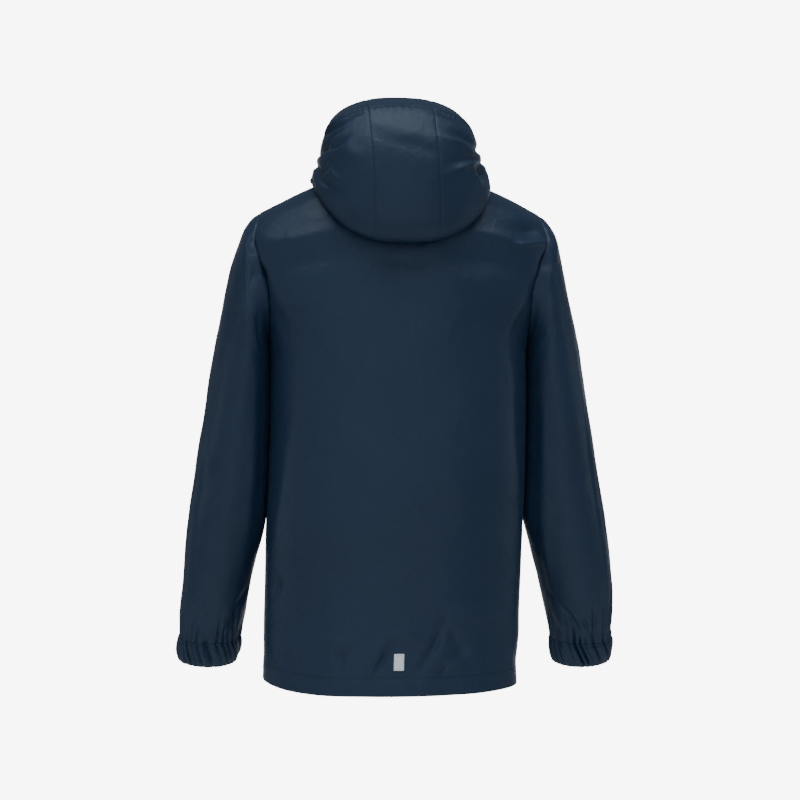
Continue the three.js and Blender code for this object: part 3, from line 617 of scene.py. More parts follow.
def make_crumple():
    """Small soft creases of a coated shell: sharp ridges where a soft noise crosses its middle
    value, added to that noise."""
    tree, given, result = new_group(
        "crumple", [("Place", "NodeSocketVector", None), ("Size", "NodeSocketFloat", 30),
                    ("Ridges", "NodeSocketFloat", 0.5)],
        [("Height", "NodeSocketFloat"), ("Mask", "NodeSocketFloat")])
    soft = noise(tree, given.outputs["Place"], given.outputs["Size"], 3)
    ridge = math(tree, "ABSOLUTE", math(tree, "SUBTRACT", soft, 0.5))
    sharp = math(tree, "POWER", math(tree, "SUBTRACT", 1.0, ridge), RIDGE_SHARPNESS)
    ridges = math(tree, "MULTIPLY", sharp, given.outputs["Ridges"])
    tree.links.new(math(tree, "ADD", soft, ridges), result.inputs["Height"])
    tree.links.new(soft, result.inputs["Mask"])
    return tree


SHADE_SPAN = 0.35, 0.65


def make_shade():
    """Two colours mixed by a large, soft noise, as dye takes unevenly on cloth."""
    tree, given, result = new_group(
        "shade", [("Place", "NodeSocketVector", None), ("Patches per metre", "NodeSocketFloat", 6),
                  ("Dark", "NodeSocketColor", None), ("Light", "NodeSocketColor", None)],
        [("Colour", "NodeSocketColor")])
    spots = noise(tree, given.outputs["Place"], given.outputs["Patches per metre"], 2)
    span = tree.nodes.new("ShaderNodeMapRange")
    span.inputs["From Min"].default_value, span.inputs["From Max"].default_value = SHADE_SPAN
    tree.links.new(spots, span.inputs["Value"])
    mix = tree.nodes.new("ShaderNodeMix")
    mix.data_type = "RGBA"
    tree.links.new(span.outputs["Result"], mix.inputs[0])
    tree.links.new(given.outputs["Dark"], mix.inputs[6])
    tree.links.new(given.outputs["Light"], mix.inputs[7])
    tree.links.new(mix.outputs[2], result.inputs["Colour"])
    return tree


WEAVE, CRUMPLE, SHADE = make_weave(), make_crumple(), make_shade()
print("effects:", [group.name for group in bpy.data.node_groups])

# %% [markdown]
# The shell is a dark navy polyester weave with a coating: matt from close by, but it mirrors large
# lights softly. A Principled shader of middling roughness with a little sheen does this.
# The inside shows the coating, so it is greyer and duller. The zip's tape is a coarser weave.

# %% Cloth finishes
def place_group(tree, group, **values):
    """A group node in a material, its unlinked inputs set by name."""
    node = tree.nodes.new("ShaderNodeGroup")
    node.node_tree = group
    for label, value in values.items():
        node.inputs[label.replace("_", " ")].default_value = value
    return node


def shaded_material(name, dark, light, patches):
    """A material of two mixed shades, with its tree, its shader and the coordinates that other
    effects start from."""
    material = bpy.data.materials.new(name)
    material.use_nodes = True
    tree = material.node_tree
    shader = tree.nodes["Principled BSDF"]
    where = tree.nodes.new("ShaderNodeTexCoord")
    shade = place_group(tree, SHADE, Dark=(*dark, 1), Light=(*light, 1), Patches_per_metre=patches)
    tree.links.new(where.outputs["Object"], shade.inputs["Place"])
    tree.links.new(shade.outputs["Colour"], shader.inputs["Base Color"])
    return material, tree, shader, where


def place_crumple(tree, where, size, ridges):
    """The crumple group in a material, laid out by the object's own coordinates."""
    crumple = place_group(tree, CRUMPLE, Size=size, Ridges=ridges)
    tree.links.new(where.outputs["Object"], crumple.inputs["Place"])
    return crumple


def vary_gloss(tree, shader, mask, roughness, spread):
    """Roughness that changes with a mask, by a spread round its middle value."""
    gloss = math(tree, "MULTIPLY_ADD", mask, spread, roughness - spread / 2)
    tree.links.new(gloss, shader.inputs["Roughness"])


def relief(tree, height, depth, under=None):
    """A Bump of a depth in millimetres, on top of another one's normal."""
    bump = tree.nodes.new("ShaderNodeBump")
    bump.inputs["Distance"].default_value = depth * MM
    tree.links.new(height, bump.inputs["Height"])
    if under:
        tree.links.new(under, bump.inputs["Normal"])
    return bump.outputs["Normal"]


CLOTH_PATCHES = 7.0
CRUMPLE_SIZE = 26.0
CRUMPLE_RIDGES = 0.35
GLOSS_SPREAD = 0.16
SHEEN = {"roughness": 0.4, "tint": (0.5, 0.68, 1.0, 1)}


def cloth_material(name, dark, light, roughness, sheen, threads, weave_depth, crumple_depth,
                   specular=0.5):
    """Woven cloth: shade patches for its colour, and weave and crumples for its relief and the
    change of its gloss."""
    material, tree, shader, where = shaded_material(name, dark, light, CLOTH_PATCHES)
    weave = place_group(tree, WEAVE, Threads_per_metre=threads)
    tree.links.new(where.outputs["UV"], weave.inputs["Cloth"])
    crumple = place_crumple(tree, where, CRUMPLE_SIZE, CRUMPLE_RIDGES)
    vary_gloss(tree, shader, crumple.outputs["Mask"], roughness, GLOSS_SPREAD)
    fine = relief(tree, weave.outputs["Height"], weave_depth)
    soft = relief(tree, crumple.outputs["Height"], crumple_depth, fine)
    tree.links.new(soft, shader.inputs["Normal"])
    shader.inputs["Specular IOR Level"].default_value = specular
    shader.inputs["Sheen Weight"].default_value = sheen
    shader.inputs["Sheen Roughness"].default_value = SHEEN["roughness"]
    shader.inputs["Sheen Tint"].default_value = SHEEN["tint"]
    return material


SHELL = cloth_material("shell cloth", (0.0125, 0.0282, 0.0610), (0.0145, 0.0322, 0.0690),
                       0.38, 0.03, 2400.0, 0.03, 0.9, specular=0.36)
COATED_INSIDE = cloth_material("coated inside", (0.016, 0.026, 0.042), (0.020, 0.032, 0.050),
                               0.62, 0.05, 2400.0, 0.02, 0.5)
TAPE_CLOTH = cloth_material("zip tape cloth", (0.009, 0.016, 0.030), (0.012, 0.021, 0.038),
                            0.75, 0.1, 1300.0, 0.12, 0.05)
SILVER_CLOTH = cloth_material("reflective cloth", (0.92, 0.97, 1.0), (0.97, 1.0, 1.0),
                              0.38, 0.0, 1800.0, 0.02, 0.05)
print("cloth finishes:", [m.name for m in bpy.data.materials])

# %% [markdown]
# The back is one plain panel. Its hem is turned up and sewn down, so the cloth there is double and
# stands a little higher, with a soft step where the turning ends. A crease runs slantwise to the
# hem beside the small tab, and the cloth on either side of it is pulled a little hollow.

# %% Creases of the trunk
HEM_RELIEF = 0.6
HEM_RISE = HEM_DEPTH / (UNDERARM_Z - HEM_Z)
BODY_FOLDS = table("side x width depth top",
                   (1, -118, 20, 1.8, -330), (1, -62, 18, 1, -470), (1, 48, 18, 1.2, -500),
                   (1, 112, 20, 1.6, -360), (-1, -108, 18, 5, -340), (-1, -52, 14, 3, -480),
                   (-1, 60, 16, 3.5, -440), (-1, 116, 18, 4.5, -300))
BACK_CREASES = table("u v slant length width depth bend",
                     (24, -586, -58, 19, 3.6, 5.2, 1), (36, -597, -52, 14, 5, -3.4, 0),
                     (-6, -558, 8, 22, 7, -2.2, -6), (-39, -570, -63, 26, 5, 5.0, 2),
                     (-62, -590, 20, 11, 4, -3.0, 0), (-52, -597, -50, 9, 3.5, 2.8, 0),
                     (74, -584, 84, 12, 5, 3.4, -3), (78, -566, 12, 13, 6, -3.0, 0),
                     (150, -503, 100, 12, 6, 3.2, 0), (151, -590, 92, 13, 3, -1.6, 0),
                     (-100, -537, 24, 44, 9, -1.8, 0), (-66, -566, 62, 26, 7, 2.2, 0),
                     (-70, -580, -50, 26, 9, 2.2, 0), (-150, -600, 80, 22, 8, 2.0, 0),
                     (136, -600, 70, 16, 6, 1.3, 0), (108, -604, 30, 12, 5, -0.9, 0),
                     (-88, -604, 66, 12, 6, 1.2, 0), (4, -606, 14, 18, 5, 0.9, 0),
                     (146, -390, 88, 90, 8, 0.4, 3), (-147, -360, 92, 90, 8, 0.4, -3),
                     (128, -80, -10, 42, 9, -2.6, 4), (112, -106, -14, 46, 14, 2.6, 4),
                     (-160, -66, 6, 17, 9, 6.0, 0), (-160, -84, -8, 20, 4, -4.4, 0),
                     (-128, -78, 16, 34, 8, -3.6, -4), (-122, -108, 24, 46, 14, 4.8, -4),
                     (-84, -110, 34, 34, 14, 2.6, 0), (0, -112, 0, 86, 13, 2.0, 0),
                     (-100, -90, 8, 46, 22, 2.0, 0), (-66, -640, 4, 40, 50, 3.5, 0),
                     (70, -640, 0, 40, 44, 2.0, 0),
                     (150, -170, 66, 26, 7, 1.3, 4), (-149, -176, 112, 28, 7, 1.3, -4),
                     (64, -400, 88, 120, 22, 0.5, 0), (-34, -360, 93, 130, 24, 0.5, 0))
FRONT_CREASES = table("u v slant length width depth bend",
                      (38, -560, 96, 40, 8, 1.6, 4), (-44, -575, 84, 34, 8, 1.4, -4),
                      (86, -590, 78, 24, 8, 1.6, 3), (-84, -584, 102, 26, 8, 1.7, -3),
                      (122, -420, 88, 80, 10, 1.6, 5), (-124, -400, 92, 90, 10, 1.5, -5),
                      (126, -250, 82, 50, 9, 1.7, 6), (-124, -258, 98, 54, 9, 1.6, -6),
                      (134, -180, 58, 26, 7, 1.7, 4), (-134, -182, 122, 28, 7, 1.7, -4),
                      (92, -150, 44, 40, 10, 1.4, 6), (-90, -146, 136, 42, 10, 1.4, -6),
                      (52, -96, 62, 30, 8, 1.0, 3), (-54, -100, 118, 30, 8, 1.0, -3))


def body_move(points, side):
    """How far the trunk's cloth is moved out: long folds that deepen to the hem, the creases of
    that side, and the slight unevenness of all cloth."""
    x, z = points[..., 0], points[..., 2]
    move = uneven(x, z, TRUNK_UNEVEN) + creases(x, z, BACK_CREASES if side > 0 else FRONT_CREASES)
    for fold in each_row(BODY_FOLDS):
        if fold["side"] == side:
            strength = 1 - soft_step(z, HEM_Z, fold["top"])
            move -= fold["depth"] * strength * bell(x - fold["x"], fold["width"])
    return move


HEM_GROOVE = {"depth": 0.6, "below": 2, "width": 1.6}


def hem_relief(height):
    """The double cloth of the turned hem, with a stitched groove near its top edge."""
    step = HEM_RELIEF * (1 - soft_step(height, HEM_DEPTH - 1, HEM_DEPTH + 2.5))
    groove = bell(height - HEM_DEPTH + HEM_GROOVE["below"], HEM_GROOVE["width"])
    return step - HEM_GROOVE["depth"] * groove


# %% [markdown]
# The grid of a trunk panel is closer where its surface turns more: beside the armholes and at the
# hem. Its points are moved out by everything that the cloth of that side does, and the moves fade
# at the seams, so that two panels still meet there.

# %% Grid of a trunk panel
NECK_COLUMNS = 5
SHOULDER_COLUMNS = 7
ZIP_OPENING = 5
neck_share = NECK_HALF_WIDTH / ARMHOLE["x"][-1]
shoulder = 1 - (1 - neck_share) * np.linspace(1, 0, SHOULDER_COLUMNS + 1)[1:] ** 2
BODY_COLUMNS = np.concatenate([np.linspace(0, neck_share, NECK_COLUMNS + 1), shoulder])
HEM_CUTS, SIDE_CUTS, ARMHOLE_CUTS = 10, 115, 100
ROW_CUTS = np.concatenate([
    np.linspace(0, HEM_RISE, HEM_CUTS + 1), np.linspace(HEM_RISE, 1, SIDE_CUTS + 1)[1:],
    1 + np.linspace(0, 1, ARMHOLE_CUTS + 1)[1:]])
COLUMN_CUTS = blended_steps(BODY_COLUMNS, 6)
TRUNK_UNEVEN = 0.4
SEAM_FADE = 7
ARMHOLE_SPAN = {"from": UNDERARM_Z - 30, "to": UNDERARM_Z + 20}
ZIP_FADE = {"from": ZIP_OPENING - 6, "to": ZIP_OPENING + 8}
TRUNK_ROLL = {"depth": 0.3, "reach": 1.2}
SIDE_PUCKER = {"least": 0.05, "most": 0.3, "length": 13, "reach": 9}
TOP_PUCKER = {"depth": 0.15, "length": 9, "reach": 6}
ZIP_PUCKER = {"depth": 0.35, "length": 15, "reach": 8}


def half_width(rise):
    """Half width of the trunk at each row."""
    z = lerp(HEM_Z, UNDERARM_Z, np.minimum(rise, 1))
    climb = (1 - np.cos(np.pi * (np.maximum(rise, 1) - 1))) / 2
    return np.where(rise <= 1, read(BODY_SECTIONS, "z", z)["half_width"],
                    read(ARMHOLE, "climb", climb)["x"])


def trunk_cloth(shares, side):
    """A trunk panel's points moved out by its folds, hem, and the roll and puckers of its
    seams."""
    rise = ROW_CUTS[:, None] + 0 * shares
    points, out = body_grid(shares, rise, side)
    across, up = running_length(points, 1), running_length(points, 0)
    left, right = across, across[:, -1:] - across
    top = up[-1:] - up
    at_zip = np.abs(points[..., 0] - lean(points[..., 2]))
    side_seam = right if side < 0 else np.minimum(left, right)
    armhole = soft_step(points[..., 2], ARMHOLE_SPAN["from"], ARMHOLE_SPAN["to"])
    move = body_move(points, side) * soft_step(np.minimum(side_seam, top), 0, SEAM_FADE)
    move = move + hem_relief(up)
    move = move + seam_roll(side_seam, **TRUNK_ROLL) + seam_roll(top, **TRUNK_ROLL)
    side_depth = lerp(SIDE_PUCKER["least"], SIDE_PUCKER["most"], armhole)
    move = move + pucker(side_seam, up, side_depth, SIDE_PUCKER["length"], SIDE_PUCKER["reach"])
    move = move + pucker(top, across, **TOP_PUCKER)
    for hand in SIDES.values():
        beside = hand * points[..., 0] > 0
        move = move + armhole_pull(points[..., 2], side_seam, hand) * armhole * beside
    if side < 0:
        move = move * soft_step(at_zip, ZIP_FADE["from"], ZIP_FADE["to"])
        move = move + pucker(at_zip - ZIP_OPENING, up, **ZIP_PUCKER)
    return points + out * move[..., None], out


back_shares = np.concatenate([-COLUMN_CUTS[:0:-1], COLUMN_CUTS])[None, :]
back_grid = trunk_cloth(back_shares, 1)
back = cloth_object("back_cloth", *with_allowance(
    *back_grid, ("first column", "last column", "last row")), SHELL, COATED_INSIDE)

# %% [markdown]
# The two fronts don't show in the photograph, so they are finished plainly: the same cloth and the
# same hem, with a turned edge beside the zip.

# %% The fronts
fronts = {}
front_grids = {}
for name, hand in SIDES.items():
    zip_share = ZIP_OPENING / half_width(ROW_CUTS)[:, None]
    beside_zip = lerp(zip_share, COLUMN_CUTS[7], np.linspace(0, 1, 8)[None, :])
    further = np.repeat(COLUMN_CUTS[None, 8:], len(ROW_CUTS), axis=0)
    shares = np.concatenate([beside_zip, further], axis=1)
    points, out = trunk_cloth(hand * shares, -1)
    front_grids[name] = points, out
    fronts[name] = cloth_object(f"front_cloth_{name}", points, out, SHELL, COATED_INSIDE)

# %% [markdown]
# The sleeves hang nearly straight. Where a sleeve is set into its armhole the seam pulls short
# creases out of it, at the elbow it bends a little, and above the cuff the elastic's gathers meet
# longer folds. The right sleeve mirrors the left one's form, but has creases of its own.

# %% Creases of the sleeves
SLEEVE_CREASES = {
    1: table("u v slant length width depth bend",
             (140, 7, 80, 9, 3, 1.2, 0), (128, 10, 98, 11, 3.2, 1.6, 0),
             (117, 9, 76, 10, 3, 1.2, 0), (101, 20, 86, 15, 4.5, 2.6, 2),
             (113, 50, 111, 18, 3, -1.1, 0), (122, 44, 108, 16, 5, 1.0, 0),
             (66, 62, 112, 30, 7, 1.4, 4), (55, 300, 91, 130, 9, -2.4, 0),
             (38, 320, 91, 130, 8, 1.8, 0), (150, 236, 95, 100, 11, 1.0, -6),
             (118, 330, 62, 44, 10, 1.0, 5), (96, 178, 84, 90, 13, 0.8, 6),
             (105, 505, 80, 27, 9, 3.2, 0), (47, 502, 57, 21, 6, 2.6, 2),
             (46, 522, 95, 15, 3.2, 2.6, 0), (84, 531, 85, 10, 3, 1.8, 0),
             (76, 530, 92, 11, 3, 1.6, 0), (64, 512, 70, 22, 8, -1.4, 0),
             (140, 504, 95, 15, 2.5, -1.0, 0), (128, 516, 84, 22, 6, 2.4, 0),
             (236, 120, 84, 70, 11, 1.5, 5), (262, 250, 96, 90, 12, 1.6, -5),
             (300, 330, 60, 44, 9, 1.8, 4), (238, 400, 118, 50, 9, 1.7, 4),
             (290, 462, 84, 46, 8, 1.8, -4), (326, 210, 92, 90, 11, 1.2, 5),
             (214, 510, 98, 24, 5, 2.0, 2), (252, 514, 82, 26, 6, 2.2, -2),
             (300, 506, 104, 26, 6, 2.0, 3), (143, 400, 91, 110, 2.4, -3.2, 0)),
    -1: table("u v slant length width depth bend",
              (136, 9, 96, 10, 3.2, 1.4, 0), (108, 8, 80, 14, 4.5, 2.4, 0),
              (120, 26, 104, 18, 5, 1.3, 2), (60, 60, 70, 30, 7, 1.3, 4),
              (53, 290, 91, 120, 9, -2.4, 0), (44, 430, 93, 60, 7, -2.0, 0),
              (36, 320, 91, 130, 8, 1.8, 0), (152, 214, 84, 96, 12, 0.9, 6),
              (122, 318, 116, 46, 10, 1.0, 5), (100, 160, 94, 84, 13, 0.8, -6),
              (150, 380, 78, 66, 10, 1.5, -4), (70, 512, 48, 26, 3.8, 3.6, 2),
              (96, 520, 56, 19, 3.2, 3.2, 2), (111, 518, 90, 21, 3.4, 3.8, 0),
              (134, 516, 92, 22, 4, 2.8, 0), (155, 514, 100, 26, 4, 3.2, 2),
              (50, 520, 60, 18, 7, -1.4, 0), (84, 500, 66, 22, 6, -1.0, 0),
              (122, 508, 94, 22, 4, -0.9, 0), (168, 500, 96, 30, 5, -1.0, 0),
              (240, 130, 96, 70, 11, 1.5, 5), (266, 240, 84, 90, 12, 1.6, 5),
              (296, 340, 118, 44, 9, 1.8, 4), (240, 410, 64, 50, 9, 1.7, 4),
              (288, 468, 96, 46, 8, 1.8, -4), (322, 220, 88, 90, 11, 1.2, 5),
              (206, 512, 84, 24, 5, 2.2, 2), (246, 508, 100, 28, 6, 2.0, -2),
              (296, 512, 78, 24, 6, 2.2, 3), (141, 355, 89, 112, 2.4, -3.2, 0),
              (176, 534, 0, 26, 7, 3.0, 0)),
}
ROUND_SIZE = 52
SLEEVE_UNEVEN = 0.6
SLEEVE_FADE = {"top": 8, "calmer": 0.6, "from": 520, "to": 540}
REST = {"left": 372, "right": 358, "fade": 75, "round": 0.16, "gap": -0.7}


def resting(turn, along, hand):
    """1 on the under line where the sleeve lies against the trunk, and a bell's fall from it."""
    climb = (1 - np.cos(turn)) / 2
    until = REST["left" if hand > 0 else "right"]
    return bell(climb, REST["round"]) * (
        1 - soft_step(along, until, until + REST["fade"])) * soft_step(along, 2, 12)


def rest_on_trunk(points, turn, along, hand):
    """The sleeve's under side moved sideways by its gap to the trunk, so that the two touch."""
    under = sleeve(0 * along, along, hand)
    z = under[..., 2]
    side = read(BODY_SECTIONS, "z", np.minimum(z, UNDERARM_Z))["half_width"]
    gap = hand * (under[..., 0] - lean(z)) - side - REST["gap"]
    moved = points.copy()
    moved[..., 0] -= hand * gap * resting(turn, along, hand)
    return moved


def sleeve_place(turn, along, hand, puff, gather_turn):
    """A point of either sleeve and its outward direction, with its gathers. Creases are laid
    out by degrees round and millimetres along."""
    out = outward(lambda a, b: sleeve(a, b, hand), turn, along,
                  (-np.inf, np.inf), (NUDGE, CUFF_END - NUDGE), hand)
    points = sleeve(turn, along, hand)
    rounds = np.degrees(np.mod(turn, 2 * np.pi))
    rows = SLEEVE_CREASES[hand]
    scale = np.radians(1) * ROUND_SIZE
    laid = {**rows, "u": rows["u"] * scale}
    calm = SLEEVE_FADE["calmer"] * soft_step(along, SLEEVE_FADE["from"], SLEEVE_FADE["to"])
    fade = soft_step(along, 0, SLEEVE_FADE["top"]) * (1 - calm)
    move = fade * (creases(rounds * scale, along, laid)
                   + uneven(ROUND_SIZE * 2 * np.sin(turn), along + 300 * hand, SLEEVE_UNEVEN))
    move = move * (1 - resting(turn, along, hand))
    points = rest_on_trunk(points, turn, along, hand)
    return points + out * (gather(gather_turn, along, hand) + puff + move)[..., None], out


# %% The sleeves
SLEEVE_ROWS = np.concatenate([np.linspace(0, 100, 44), np.linspace(100, 440, 100)[1:],
                              np.linspace(440, CUFF_START - SEAM_GAP, 50)[1:]])
RING = np.linspace(0, 2 * np.pi, 8 * GATHERS + 1)[None, :-1]
ARMHOLE_RUN = 1.3
ARMHOLE_ROLL = {"depth": 0.4, "reach": 1.2}
ARMHOLE_PUCKER = {"depth": 0.3, "length": 12, "reach": 9}
CUFF_ROLL = {"depth": 0.4, "reach": 1.6}
sleeves = {}
sleeve_grids = {}
for name, hand in SIDES.items():
    turn, along = np.broadcast_arrays(RING, SLEEVE_ROWS[:, None])
    armhole_run = turn * ARMHOLE_HALF_DEPTH * ARMHOLE_RUN
    edge = (seam_roll(along, **ARMHOLE_ROLL) + pucker(along, armhole_run, **ARMHOLE_PUCKER)
            + seam_roll(CUFF_START - along, **CUFF_ROLL)
            + armhole_pull(sleeve(turn, along, hand)[..., 2], along, hand))
    points, out = sleeve_place(turn, along, hand, edge, turn)
    sleeve_grids[name] = points, out
    sleeves[name] = cloth_object(f"sleeve_cloth_{name}", *with_allowance(
        points, out, ("first row", "last row")), SHELL, COATED_INSIDE, closed=True)

# %% [markdown]
# The cuff is a tube of cloth round a hidden elastic. It puffs out between its two edges, and the
# gathers cross it a little slantwise. Narrow valleys between round ridges look like gathered cloth,
# so they follow the root of a cosine and not the even wave of the solid.

# %% The cuffs
cuffs = {}
cuff_grids = {}
CUFF_RING = np.linspace(0, 2 * np.pi, 10 * GATHERS + 1)[None, :-1]
CUFF_ROWS = 25
CUFF_FULLNESS = 0.6
CUFF_RIPPLE = {"depth": 0.25, "sway": 1.1}
CUFF_SEAM = {"depth": 0.3, "at": 0.08, "width": 0.035}
for name, hand in SIDES.items():
    share = np.linspace(0, 1, CUFF_ROWS)[:, None]
    along = lerp(CUFF_START, CUFF_END, share)
    phase, along = np.broadcast_arrays(CUFF_RING, along)
    slant = -hand * GATHER_SLANT * 2 * np.pi / GATHERS * share
    bulge = np.sin(np.pi * share) ** CUFF_FULLNESS * CUFF_PUFF
    ripple = CUFF_RIPPLE["depth"] * np.sin(
        phase * GATHERS * 2 + CUFF_RIPPLE["sway"] * np.sin(3 * phase)) * np.sin(np.pi * share)
    groove = -CUFF_SEAM["depth"] * bell(share - CUFF_SEAM["at"], CUFF_SEAM["width"])
    points, out = sleeve_place(phase + slant, along, hand, bulge + ripple + groove, phase)
    cuff_grids[name] = points, out
    cuffs[name] = cloth_object(f"cuff_cloth_{name}", points, out, SHELL, COATED_INSIDE,
                               closed=True)

# %% [markdown]
# The hood is sewn from a centre panel and two sides. It sags in its own weight, so its sides fold
# over each other near the opening, and its two long seams pull small puckers. Round the opening the
# cloth is turned over an elastic cord, which makes a narrow band of fine gathers.

# %% Creases of the hood
HOOD_FOLDS = table("round along length width slope depth",
                   (70, 0.87, 20, 0.026, 0.0016, 6), (76, 0.74, 18, 0.028, -0.0012, 6.5),
                   (80, 0.58, 19, 0.035, 0.002, 6), (-82, 0.76, 26, 0.034, -0.0014, 4),
                   (-74, 0.66, 22, 0.028, 0.001, 4), (-68, 0.595, 9, 0.05, 0.002, 8))
HOOD_CREASES = table("u v slant length width depth bend",
                     (46, 279, -14, 12, 3.2, 3.0, 2), (48, 270, -16, 13, 3.4, -2.6, 2),
                     (51, 244, -26, 13, 3.8, 3.4, 2), (54, 254, -30, 10, 3.6, -2.8, 0),
                     (60, 206, -70, 15, 3.2, 3.4, 2), (53, 198, 60, 13, 4.5, -2.2, 0),
                     (58, 176, -20, 15, 5, 2.4, 2), (34, 290, 20, 10, 3.4, 2.2, 0),
                     (36, 232, 52, 22, 9, -1.6, 0), (32, 214, -40, 20, 7, 1.2, 0),
                     (-48, 257, 16, 21, 4.4, 3.0, 2), (-38, 248, 26, 17, 4.6, -2.6, -2),
                     (-52, 227, -8, 22, 4.4, 3.2, -2), (-50, 217, -12, 22, 3.6, -3.2, -2),
                     (-64, 198, 64, 14, 5.5, 4.4, 0), (-52, 192, 72, 12, 4, -2.2, 0),
                     (-34, 286, 12, 14, 4.6, 2.0, 0), (-33, 200, 80, 30, 9, 1.4, 0),
                     (-6, 253, 34, 24, 8, -0.9, 3), (-4, 239, 32, 24, 7, 1.0, 3),
                     (10, 178, 30, 26, 12, 0.7, 0), (84, 150, 60, 30, 8, 2.0, 4),
                     (-86, 150, 118, 30, 8, 2.0, -4), (112, 190, 80, 34, 8, 1.7, 4),
                     (-114, 190, 98, 34, 8, 1.7, -4), (146, 170, 92, 40, 9, 1.5, 3),
                     (-146, 176, 86, 40, 9, 1.5, -3))
HOOD_ROUND_SIZE = 1.9
HOOD_LENGTH = 330
HOOD_ENDS = 179
HOOD_UNEVEN = 0.45
RUFFLE = {"wave": 8.5, "sway": 1.6, "sway_run": 21, "short_run": 9.3, "patch_run": 17}
RUFFLE_PLACE = {"below": 0.012, "reach": 0.025, "there": 0.9, "on_band": 0.15,
                "ends_from": 0.93, "ends_to": 0.985}
TUNNEL_GROOVE = {"depth": 0.4, "below": 0.004, "width": 0.006}
HOOD_ROLL = {"depth": 0.3, "reach": 1.1}
HOOD_PUCKER = {"least": 0.25, "most": 0.75, "length": 7, "reach": 5}

def hood_move(place, along):
    """The large folds of the solid, sharper creases over them, and the slight unevenness."""
    move = HOOD_UNEVEN * uneven(place * HOOD_ROUND_SIZE, along * HOOD_LENGTH)
    move = move + creases(place, along * HOOD_LENGTH, HOOD_CREASES) * soft_step(along, 0.1, 0.3)
    for fold in each_row(HOOD_FOLDS):
        aside = place - fold["round"]
        across = along - fold["along"] - fold["slope"] * aside
        move = move - fold["depth"] * bell(aside, fold["length"]) * bell(across, fold["width"])
    return move


def hood_cloth(place, along, seams):
    """A hood panel's points, moved by its folds, the puckers of its seams (given as the grid's
    edge distances) and the band of fine gathers at the opening."""
    out = outward(hood, place, along, (-HOOD_ENDS, HOOD_ENDS), (NUDGE, 1 - NUDGE), -1)
    points = hood(place, along)
    across, up = running_length(points, 1), running_length(points, 0)
    band = soft_step(along, TUNNEL["start"] - TUNNEL["step"], TUNNEL["start"])
    run = place * HOOD_ROUND_SIZE
    ruffle = np.sin(2 * np.pi * run / RUFFLE["wave"]
                    + RUFFLE["sway"] * np.sin(run / RUFFLE["sway_run"])
                    + np.sin(run / RUFFLE["short_run"]))
    patches = (1 + np.sin(run / RUFFLE["patch_run"] + 0.6)) / 2
    beside = np.abs(along - TUNNEL["start"] + RUFFLE_PLACE["below"]) / RUFFLE_PLACE["reach"]
    rim = 1 - soft_step(along, RUFFLE_PLACE["ends_from"], RUFFLE_PLACE["ends_to"])
    groove = bell(along - TUNNEL["start"] + TUNNEL_GROOVE["below"], TUNNEL_GROOVE["width"])
    move = hood_move(place, along) * (1 - 0.6 * band) + TUNNEL["relief"] * band
    move = move + ruffle * rim * (RUFFLE_PLACE["there"] * np.exp(-beside) * patches
                                  + RUFFLE_PLACE["on_band"] * band)
    move = move - TUNNEL_GROOVE["depth"] * groove
    middle = soft_step(along, 0.35, 0.6) * (1 - soft_step(along, 0.75, 0.85))
    strength = lerp(HOOD_PUCKER["least"], HOOD_PUCKER["most"], middle)
    for edge in seams:
        distance = across if edge == "first" else across[:, -1:] - across
        move = move + seam_roll(distance, **HOOD_ROLL) + pucker(
            distance, up, strength, HOOD_PUCKER["length"], HOOD_PUCKER["reach"])
    rest = soft_step(along, 0, 0.05)
    return points + out * (move * rest)[..., None], out


# %% The hood's centre
HOOD_ROWS = np.concatenate([np.linspace(0, TUNNEL["start"] - TUNNEL["step"], 112),
                            np.linspace(TUNNEL["start"] - TUNNEL["step"], 1, 15)[1:]])
hood_parts = {}
hood_grids = {}
share, along = np.broadcast_arrays(np.linspace(-1, 1, 41)[None, :], HOOD_ROWS[:, None])
inner_edge = HOOD_SEAM_X - SEAM_GAP / 2
place = np.sign(share) * hood_angle(inner_edge * np.abs(share), along, False)
hood_grids["centre"] = hood_cloth(place, along, ("first", "last"))
hood_parts["centre"] = cloth_object("hood_cloth_centre", *with_allowance(
    *hood_grids["centre"], ("first column", "last column")), SHELL, COATED_INSIDE)

# %% The hood's sides
for name, hand in SIDES.items():
    seam = hood_angle(HOOD_SEAM_X + SEAM_GAP / 2, HOOD_ROWS, False)[:, None]
    edge = hood_angle(ZIP_OPENING, HOOD_ROWS, True)[:, None]
    place = hand * lerp(seam, edge, np.linspace(0, 1, 127)[None, :])
    along = np.broadcast_to(HOOD_ROWS[:, None], place.shape)
    hood_grids[name] = hood_cloth(place, along, ("first",))
    hood_parts[name] = cloth_object(f"hood_cloth_{name}", *with_allowance(
        *hood_grids[name], ("first row",)), SHELL, COATED_INSIDE)

# %% [markdown]
# The zip isn't in the photograph, but a front needs something to close it, so it has the least: two
# tapes, a coil on each and a slider. The middle line of the front gives each of them its path, with
# the direction up and out at every height. A coil is a thin tube wound in flat loops, and the loops
# of the two sides lie half a step apart, which is what makes them hold.

# %% The line of the zip
TAPE = {"half_width": 12, "parting": 0.2, "face": -2.5, "thickness": 1, "start": -629,
        "end": 2.98, "curve": 120}
CHAIN = {"start": -618.5, "end": 2.86, "height": -0.9}


def rise_at(z):
    """Place up the middle line for a height below the underarm."""
    return (z - HEM_Z) / (UNDERARM_Z - HEM_Z)


